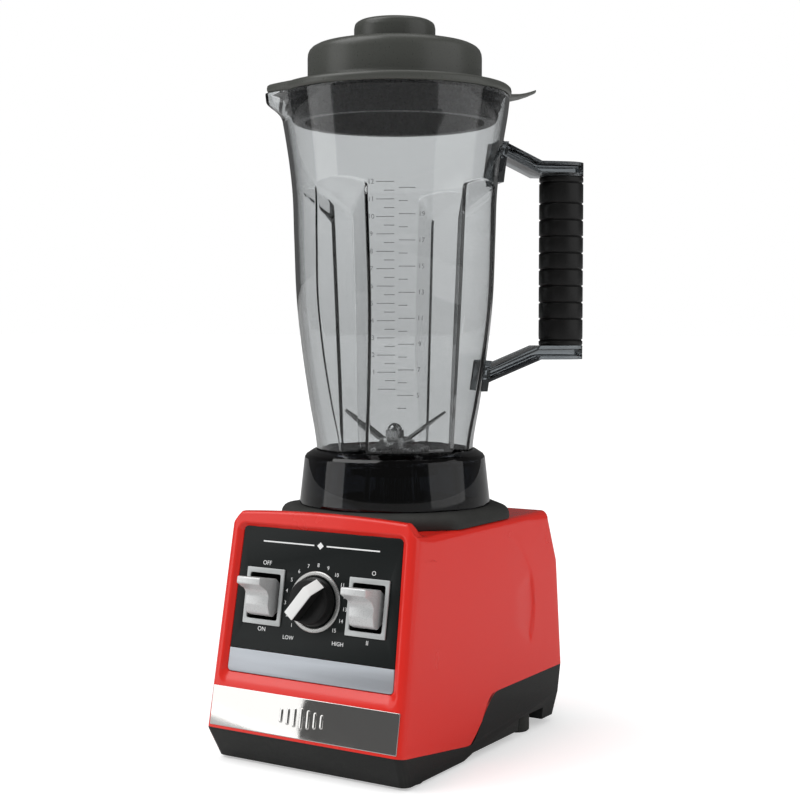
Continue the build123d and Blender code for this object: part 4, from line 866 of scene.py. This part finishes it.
knob = dict(turned=143.0, top=15.0, height=9.5, wing=7.6, wingHeight=8.0, markSize=1.5,
            skirt=[(0.05, 1.2), (15.6, 1.2), (16.4, 1.4), (16.3, 2.6), (15.1, 8.9), (14.0, 9.5), (9.0, 9.5),
                   (0.05, 9.2)],
            skirtRadii=[0, 0.3, 0.4, 0.6, 1.0, 1.2, 1.0, 0],
            ring=[(17.2, 0.0), (20.3, 0.0), (20.3, 0.8), (19.7, 1.3), (17.9, 1.3), (17.2, 0.9), (17.2, 0.0)],
            ringRadii=[0, 0.1, 0.4, 0.5, 0.5, 0.4, 0])


def makeKnob():
    # a turned skirt, a wing across it, and the white cover on the wing's crest
    place = onPanel(0, panel["controls"], 0, knob["turned"])
    skirt = latheMesh("knobSkirt", roundPath(knob["skirt"], knob["skirtRadii"], 4), 96)
    skirt.transform(scaled(place))
    reach, top, half = knob["top"], knob["height"] + knob["wingHeight"], knob["wing"] / 2
    along = place @ Matrix(((0, 0, 1, 0), (1, 0, 0, 0), (0, 1, 0, 0), (0, 0, 0, 1)))
    low, bend, end = -reach - 0.6, -0.55 * reach, 0.86 * reach
    wing = roundLoop([(low, 6.5), (reach, 6.5), (end, top), (bend, top), (low, knob["height"] + 0.5)],
                     [0.5, 0.8, 0.5, 1.5, 0.5], 4)
    mesh = joinMeshes("speedKnob", [skirt, flatMesh("knobWing", [wing], -half, half, 0.4, along)])
    addPiece("speedKnob", tidyMesh(mesh, flip=False), knobBlack, "speed_knob", ["speed_knob"])
    cover = roundLoop([(low, 10.0), (bend, top), (end, top), (end + 0.1, top + 1.0), (bend - 0.4, top + 1.0),
                       (-reach - 1.3, 10.4)], [0.3, 1.5, 0.2, 0.3, 2.0, 0.3], 4)
    coverMesh = flatMesh("knobCover", [cover], -half - 0.15, half + 0.15, 0.25, along)
    addPiece("knobCover", tidyMesh(coverMesh, flip=False), knobWhite, "speed_knob",
             ["knob_cover"])
    ringMesh = latheMesh("dialRing", roundPath(knob["ring"], knob["ringRadii"], 4), 128)
    ringMesh.transform(scaled(onPanel(0, panel["controls"])))
    addPiece("dialRing", tidyMesh(ringMesh), ringSilver, "base", ["dial_ring"])
    # a small triangle on the low end of the cover
    size = knob["markSize"]
    corners = [Vector((a, 14.35 + (a + 12.2), w)) for a, w in ((-13.6, size), (-13.6, -size), (-11.0, 0))]
    corners = [tuple((along @ (c + Vector((-0.06, 0.06, 0)))) * mm) for c in corners]
    mark = bpy.data.meshes.new("knobMark")
    mark.from_pydata(corners, [], [(0, 1, 2)])
    addPiece("knobMark", mark, markGrey, "speed_knob")


makeKnob()


def textMesh(words, size, place):
    curve = bpy.data.curves.new("letters", "FONT")
    curve.body, curve.size, curve.align_x, curve.align_y = words, size, "CENTER", "CENTER"
    curve.resolution_u, curve.extrude = 3, 0.03
    return meshFromCurve(curve, place)


printed = dict(numbers=15, dialRadius=24.2, sweep=270.0, numberSize=3.6, rise=0.03, captions=(
    ("OFF", 4.2, -42, 137.4), ("ON", 4.2, -41.4, 93.0), ("O", 4.2, 44, 137.5), ("II", 4.2, 43.7, 92.6),
    ("LOW", 3.8, -19, 89.5), ("HIGH", 3.8, 21, 89.5)),
    ornament=([(-47, 151.6), (-5, 151.6), (-5, 152.5), (-47, 152.5)],
              [(5, 151.6), (47, 151.6), (47, 152.5), (5, 152.5)],
              [(0, 149.6), (2.6, 152.05), (0, 154.5), (-2.6, 152.05)]))


def makePanelMarks():
    # the dial's numbers, the captions, and a plain ornament of two thin rules with a diamond between them
    marks, radius, step = [], printed["dialRadius"], printed["sweep"] / (printed["numbers"] - 1)
    for number in range(printed["numbers"]):
        angle = math.radians(number * step - printed["sweep"] / 2)
        x, s = radius * math.sin(angle), panel["controls"] + radius * math.cos(angle)
        marks.append(textMesh(str(number + 1), printed["numberSize"], onPanel(x, s, printed["rise"])))
    for words, size, x, s in printed["captions"]:
        marks.append(textMesh(words, size, onPanel(x, s, printed["rise"])))
    for loop in printed["ornament"]:
        marks.append(flatMesh("ornament", [np.array(loop)], 0.0, 0.06, 0.01, panelMatrix, 0))
    addPiece("panelMarks", joinMeshes("panelMarks", marks), inkWhite, "base")


makePanelMarks()
print("control panel ready")

# pad, collar

pad = dict(half=74.0, corner=37.0, cornerRadius=14.0, points=160,
           rim=[(1.2, 159.0), (0.3, 159.3), (0.0, 160.2), (0.0, 162.6), (0.25, 164.6), (1.1, 166.4),
                (2.5, 167.9),
                (4.5, 169.1), (6.8, 169.8), (9.0, 170.0)],
           boss=[(61.5, 170.0), (60.2, 170.3), (59.5, 171.2), (59.5, 176.8), (58.4, 178.0), (48.2, 178.0),
                 (47.0, 177.0),
                 (47.0, 170.8), (46.2, 170.0), (30.8, 170.0), (30.0, 169.2), (30.0, 159.0)])


def makePad():
    # eight-sided rings whose inset grows with the height, then round rings over the boss and down the hole
    corners = []
    for quarter in range(4):
        a = quarter * math.pi / 2
        for v in (-pad["corner"], pad["corner"]):
            corners.append((pad["half"] * math.cos(a) - v * math.sin(a),
                            pad["half"] * math.sin(a) + v * math.cos(a)))
    loop = roundLoop(corners, pad["cornerRadius"], 9)
    closed = np.vstack([loop, loop[:1]])
    length = np.concatenate([[0], np.cumsum(np.linalg.norm(np.diff(closed, axis=0), axis=1))])
    at = np.linspace(0, length[-1], pad["points"] + 1)[:-1]
    loop = np.column_stack([np.interp(at, length, closed[:, 0]), np.interp(at, length, closed[:, 1])])
    angle = np.arctan2(loop[:, 1], loop[:, 0])
    rings = [np.column_stack([insetLoop(loop, inset), np.full(len(loop), z)]) for inset, z in pad["rim"]]
    rings += [np.column_stack([r * np.cos(angle), r * np.sin(angle), np.full(len(loop), z)]) for r,
              z in pad["boss"]]
    rings.append(rings[0])
    mesh = tidyMesh(gridMesh("jarPad", [(np.array(rings), True)]), sharp=40)
    addPiece("jarPad", mesh, padRubber, "base", ["jar_pad"])


makePad()

collar = dict(outer=[(66.2, 170.15), (68.0, 170.15), (64.3, 203.2), (63.0, 205.2), (57.9, 208.5),
                     (56.2, 208.5),
                     (55.7, 207.6), (55.3, 203.2)], outerRadii=[0, 0.8, 1.6, 1.6, 1.0, 0.5, 0.5, 0],
              inner=[(55.3, 203.1), (17.5, 203.0), (17.5, 200.2), (45.0, 200.2), (60.6, 200.2), (61.2, 199.0),
                     (61.6, 195.0), (64.6, 171.2), (65.0, 170.3)],
              ribPitch=30.0, ribAngle=15.0, ribWidth=0.85, ribDepth=4.0, columns=360)


def makeCollar():
    # outside a smooth cone with a rounded shoulder; inside a cone whose radius dips at each rib
    outer, inner = roundPath(collar["outer"], collar["outerRadii"], 5), np.array(collar["inner"])
    a = np.linspace(0, turn, collar["columns"], endpoint=False)
    half = collar["ribPitch"] / 2
    away = (np.degrees(a) - collar["ribAngle"] + half) % collar["ribPitch"] - half
    rib = np.exp(-(away / collar["ribWidth"]) ** 4)
    depth = np.interp(inner[:, 1], [170.2, 173, 199, 200], [0, 1, 1, 0]) * (inner[:, 0] > 50)
    radius = np.concatenate([np.repeat(outer[:, :1], len(a), 1),
                             inner[:, :1] - collar["ribDepth"] * depth[:, None] * rib[None, :]])
    grid = ringPoints(a[None, :], radius, np.concatenate([outer[:, 1], inner[:, 1]]))
    mesh = tidyMesh(gridMesh("jarCollar", [(np.concatenate([grid, grid[:1]]), True)]), sharp=30)
    addPiece("jarCollar", mesh, collarSmoke, "jar", ["jar_collar"])


makeCollar()
print("pad and collar ready")

# handle

handle = dict(angle=45.0, reach=140.5, radial=32.5, across=27.9, ends=(281.7, 403.9), bands=(285.6, 399.4),
              grooves=8,
              pitch=11.93, grooveShift=0.25, groove=[(-1.2, 1.0), (-0.7, 0.99), (-0.4, 0.955), (0.0, 0.94),
                                                     (0.4, 0.955),
                                                     (0.7, 0.99), (1.2, 1.0)],
              endCap=[(0.0, 0.02), (0.0, 0.95), (0.4, 0.985), (1.0, 1.0)])


def makeHandle():
    # the grip: an oval at each height, drawn in a little at every groove and towards its two ends
    addPiece("handleFrame", copyOfNode("handle_frame", "handleFrame", 0.35, 30), handleSmoke, "jar",
             ["handle_frame"])
    (low, high), (bandLow, bandHigh) = handle["ends"], handle["bands"]
    middle = (bandLow + bandHigh) / 2 + handle["grooveShift"]
    grooves = [middle + (i - (handle["grooves"] - 1) / 2) * handle["pitch"] for i in range(handle["grooves"])]
    rows = [(low + step, share) for step, share in handle["endCap"]]
    rows += [(z + step, share) for z in [bandLow, *grooves, bandHigh] for step, share in handle["groove"]]
    rows += [(high - step, share) for step, share in handle["endCap"][::-1]]
    heights, scale = np.array(rows).T
    a, t = np.linspace(0, turn, 72, endpoint=False), math.radians(handle["angle"])
    x = handle["reach"] - handle["radial"] / 2 + np.cos(a) * handle["radial"] / 2 * scale[:, None]
    y = np.sin(a) * handle["across"] / 2 * scale[:, None]
    z = np.repeat(heights[:, None], len(a), 1)
    grid = np.stack([x * math.cos(t) - y * math.sin(t), x * math.sin(t) + y * math.cos(t), z], axis=-1)
    mesh = tidyMesh(gridMesh("handleGrip", [(grid, True)]), sharp=55)
    closeHoles(mesh)
    addPiece("handleGrip", mesh, gripRubber, "jar", ["handle_grip"])


def closeHoles(mesh):
    work = bmesh.new()
    work.from_mesh(mesh)
    bmesh.ops.holes_fill(work, edges=[e for e in work.edges if e.is_boundary], sides=0)
    bmesh.ops.recalc_face_normals(work, faces=work.faces)
    work.to_mesh(mesh)
    work.free()


makeHandle()
print("handle ready")

# lid, seal, cap

lid = dict(
    columns=240, spoutReach=8.6, spoutHalf=16.0, spoutAngle=225.0, tabAngle=45.0,
    # radius, height, share of the spout's beak
    shell=[(58.6, 457.0, 0), (80.2, 457.0, 1), (81.7, 457.4, 1), (82.3, 458.6, 1), (82.4, 460.2, 1),
           (82.0, 461.8, 1),
           (80.8, 462.9, 0.97), (78.5, 463.5, 0.9), (74.0, 463.9, 0.6), (68.0, 464.0, 0.2), (64.5, 464.2, 0),
           (62.6, 465.0, 0), (61.7, 466.4, 0), (61.5, 468.6, 0), (61.5, 483.6, 0), (61.2, 486.4, 0),
           (60.3, 488.5, 0),
           (58.8, 490.1, 0), (56.6, 491.3, 0), (53.6, 492.0, 0), (50.0, 492.5, 0), (42.0, 493.2, 0),
           (33.0, 493.8, 0),
           (23.4, 494.0, 0), (22.4, 493.6, 0), (22.0, 492.6, 0), (22.0, 481.0, 0), (25.0, 481.0, 0),
           (25.0, 491.0, 0),
           (50.0, 491.0, 0), (55.4, 489.0, 0), (58.5, 484.0, 0)],
    tabPath=[(78.0, 459.4), (84.0, 459.5), (89.0, 459.9), (94.0, 460.9), (99.0, 462.5), (102.4, 463.9),
             (103.2, 464.3)],
    tabHalf=([78, 92, 99, 102.4, 103.2], [16.0, 13.5, 12.0, 9.5, 8.0]),
    tabThick=([78, 90, 102.4, 103.2], [1.3, 1.15, 0.95, 0.5]),
    seal=[(63.5, 438.4), (70.6, 438.2), (72.0, 439.2), (73.4, 443.6), (72.5, 444.4), (73.0, 446.0),
          (74.6, 447.0),
          (75.3, 449.6), (74.4, 450.4), (74.9, 452.0), (76.4, 453.0), (77.2, 456.6), (68.0, 456.8),
          (63.5, 456.8),
          (63.5, 438.4)],
    cap=[(0.05, 506.4), (18.4, 506.4), (18.6, 472.2), (21.6, 472.2), (21.6, 494.2), (27.4, 494.2),
         (28.7, 495.4),
         (28.7, 504.6), (28.0, 508.0), (25.0, 509.8), (20.0, 510.0), (0.05, 510.0)],
    capRadii=[0, 0.5, 0.4, 0.6, 0.4, 0.8, 0.8, 2.5, 3.0, 3.0, 1.0, 0])


def makeTab():
    # a thin strip that leaves the flange and curls up a little; its thickness falls off towards both sides
    r, z = np.array(lid["tabPath"]).T[:, :, None]
    side, t = np.linspace(-1, 1, 17)[None, :], math.radians(lid["tabAngle"])
    along, y = r - 1.2 * np.abs(side) ** 3, side * np.interp(r, *lid["tabHalf"])
    lift = 1.1 * np.interp(r, *lid["tabThick"]) * (1 - 0.75 * np.abs(side) ** 8)
    under, over = (np.stack([along * math.cos(t) - y * math.sin(t), along * math.sin(t) + y * math.cos(t),
                             z + sign * lift], axis=-1) for sign in (-1, 1))
    tab = gridMesh("lidTab", [(np.concatenate([under, over[:, ::-1]], axis=1), True)])
    tidyMesh(tab, sharp=60)
    closeHoles(tab)
    return tab


def makeLid():
    # the shell: a profile round the axis, pushed out over the spout by a beak that falls off to both sides
    a = np.linspace(0, turn, lid["columns"], endpoint=False)
    away = (a - math.radians(lid["spoutAngle"]) + math.pi) % turn - math.pi
    beak = lid["spoutReach"] * np.clip(1 - np.abs(away) / math.radians(lid["spoutHalf"]), 0, 1) ** 1.15
    outer = np.array(lid["shell"])
    grid = ringPoints(a[None, :], outer[:, :1] + outer[:, 2:] * beak[None, :], outer[:, 1])
    shell = tidyMesh(gridMesh("lidShell", [(np.concatenate([grid, grid[:1]]), True)]), sharp=50)
    mesh = joinMeshes("lidShell", [shell, makeTab()])
    mesh.set_sharp_from_angle(angle=math.radians(50))
    addPiece("lidShell", mesh, lidGrey, "lid", ["lid_shell"])
    sealMesh = tidyMesh(latheMesh("lidSeal", roundPath(lid["seal"], 0.5, 3), 160), sharp=50)
    addPiece("lidSeal", sealMesh, sealBlack, "lid", ["lid_seal"])
    capMesh = tidyMesh(latheMesh("fillerCap", roundPath(lid["cap"], lid["capRadii"], 5), 120), sharp=50)
    closeHoles(capMesh)
    addPiece("fillerCap", capMesh, lidGrey, "filler_cap", ["filler_cap"])


makeLid()
print("lid ready")

# level marks on the jar

levels = dict(middle=-58.0, rise=0.04, lineThick=0.5, numberSize=4.6, left=0.0, leftLines=25,
              leftWidths=(12.0, 7.0),
              leftRadius=69.0, leftNumbers=-12.6, leftCount=12, top=391.3, pitch=11.5, right=2.0,
              rightWidths=(11.0, 6.0), rightRadius=67.0, rightNumbers=14.6, rightCount=8, rightFirst=5,
              rightLow=249.0,
              rightPitch=17.3)


def bendOnJar(mesh, angle, height):
    # a flat drawing laid round the jar: its x becomes an angle, its y a height
    co = np.empty(len(mesh.vertices) * 3)
    mesh.vertices.foreach_get("co", co)
    co = co.reshape(-1, 3) / mm
    z = height + co[:, 1]
    radius = smoothCurve(jar["outline"], z) + levels["rise"] + co[:, 2]
    a = math.radians(angle) + co[:, 0] / radius
    mesh.vertices.foreach_set("co", (np.column_stack([radius * np.cos(a), radius * np.sin(a), z])
                                     * mm).ravel())
    return mesh


def markLine(width, centre, height):
    thick = levels["lineThick"]
    x = np.linspace(-width / 2, width / 2, 7)
    loop = np.vstack([np.column_stack([x, x * 0 - thick / 2]), np.column_stack([x[::-1], x * 0 + thick / 2])])
    mesh = bpy.data.meshes.new("line")
    points = np.column_stack([loop, np.zeros(len(loop))]) * mm
    n = len(x)
    mesh.from_pydata(points.tolist(), [], [(i, i + 1, 2 * n - 2 - i, 2 * n - 1 - i) for i in range(n - 1)])
    return bendOnJar(mesh, centre, height)


def makeLevelMarks():
    # two scales side by side, long and short lines in turn, with a number beside each long line
    marks = []
    start, half = levels["middle"], levels["pitch"] / 2
    for k in range(levels["leftLines"]):
        width = levels["leftWidths"][k % 2]
        marks.append(markLine(width, start + levels["left"] - math.degrees(width / 2 / levels["leftRadius"]),
                              levels["top"] - k * half))
    for k in range(-1, 2 * levels["rightCount"] + 1):
        width = levels["rightWidths"][k % 2]
        marks.append(markLine(width, start + levels["right"]
                              + math.degrees(width / 2 / levels["rightRadius"]),
                              levels["rightLow"] + k * levels["rightPitch"] / 2))
    for k in range(levels["leftCount"]):
        marks.append(bendOnJar(textMesh(str(levels["leftCount"] - k), levels["numberSize"], None),
                               start + levels["leftNumbers"], levels["top"] - k * levels["pitch"]))
    for k in range(levels["rightCount"]):
        marks.append(bendOnJar(textMesh(str(levels["rightFirst"] + 2 * k), levels["numberSize"], None),
                               start + levels["rightNumbers"], levels["rightLow"] + k * levels["rightPitch"]))
    addPiece("levelMarks", joinMeshes("levelMarks", marks), jarMarkGrey, "jar")


makeLevelMarks()
for bladeNode in ("blade_upper", "blade_lower"):
    dressNode(bladeNode, bladeSteel)
dressNode("blade_nut", groundSteel)
print("marks ready")

# floor, lights, camera

stage = dict(floorSize=80.0, seen=1.0, diffuse=0.55, mirrored=0.1, sun=1.45, sunSpread=50.0, key=5.2,
             fill=6.4,
             top=3.0, floorSeen=0.42)


def straightRays(tree):
    # the light path, and one for a ray that has met nothing but clear plastic yet
    rays = addNode(tree, "ShaderNodeLightPath")
    bounces = calculate(tree, "ADD", rays.outputs["Diffuse Depth"], rays.outputs["Glossy Depth"])
    return rays, calculate(tree, "LESS_THAN", bounces, 0.5)


def makeFloor():
    # a matt pale floor; what is seen of it directly glows a little so that it meets the white background
    size = stage["floorSize"] / 2
    mesh = bpy.data.meshes.new("floor")
    mesh.from_pydata([(-size, -size, 0), (size, -size, 0), (size, size, 0), (-size, size, 0)], [],
                     [(0, 1, 2, 3)])
    floor = bpy.data.objects.new("floor", mesh)
    bpy.context.scene.collection.objects.link(floor)
    material = solidFinish("paleFloor", (0.80, 0.80, 0.80), rough=(0.6, 0.7), grain=(40.0, 300.0), bump=0.0,
                           wear=0.0,
                           dust=0.0, specular=0.0)
    tree = material.node_tree
    setInputs(tree, tree.nodes["Principled BSDF"], {
        "Emission Color": (1, 1, 1, 1),
        "Emission Strength": calculate(tree, "MULTIPLY", straightRays(tree)[1], stage["floorSeen"])})
    mesh.materials.append(material)


def softLight(name, place, aim, width, height, power):
    data = bpy.data.lights.new(name, "AREA")
    data.shape, data.size, data.size_y, data.energy = "RECTANGLE", width, height, power
    light = bpy.data.objects.new(name, data)
    light.location = place
    light.rotation_euler = (Vector(aim) - Vector(place)).to_track_quat("-Z", "Y").to_euler()
    bpy.context.scene.collection.objects.link(light)


makeFloor()


def makeWorld():
    # white where it is seen, also through clear plastic, and darker in what it lights and in reflections
    world = bpy.data.worlds.new("studio")
    world.use_nodes = True
    tree = world.node_tree
    rays, straight = straightRays(tree)
    through = calculate(tree, "MULTIPLY", straight, rays.outputs["Is Transmission Ray"])
    seen = calculate(tree, "MAXIMUM", rays.outputs["Is Camera Ray"], through)
    other = mapRange(tree, rays.outputs["Glossy Depth"], 0.0, 1.0, stage["diffuse"], stage["mirrored"])
    setInputs(tree, tree.nodes["Background"], {
        "Color": (1, 1, 1, 1), "Strength": mapRange(tree, seen, 0.0, 1.0, other, stage["seen"])})
    bpy.context.scene.world = world


makeWorld()
bpy.context.scene.view_settings.view_transform = "Standard"
sunData = bpy.data.lights.new("softSun", "SUN")
sunData.energy, sunData.angle = stage["sun"], math.radians(stage["sunSpread"])
sun = bpy.data.objects.new("softSun", sunData)
sun.rotation_euler = Vector((0.75, 0.8, -1.5)).to_track_quat("-Z", "Y").to_euler()
bpy.context.scene.collection.objects.link(sun)
softLight("keyLight", (-1.30, -1.22, 0.5), (0, 0, 0.25), 0.95, 1.5, stage["key"])
softLight("fillLight", (1.67, 0.30, 0.85), (0, 0, 0.25), 1.8, 1.6, stage["fill"])
softLight("topLight", (0.1, 0.2, 1.9), (0, 0, 0.3), 1.0, 1.0, stage["top"])

view = dict(place=(0.5719, -0.9118, 0.2953), azimuth=31.9, tilt=2.78, lens=67.93, sensor=36.0)
azimuth, tilt = math.radians(view["azimuth"]), math.radians(view["tilt"])
cameraData = bpy.data.cameras.new("camera")
cameraData.lens, cameraData.sensor_width = view["lens"], view["sensor"]
camera = bpy.data.objects.new("camera", cameraData)
camera.location = view["place"]
forward = Vector((-math.sin(azimuth) * math.cos(tilt), math.cos(azimuth) * math.cos(tilt), -math.sin(tilt)))
camera.rotation_euler = forward.to_track_quat("-Z", "Y").to_euler()
bpy.context.scene.collection.objects.link(camera)
bpy.context.scene.camera = camera
print("stage ready")
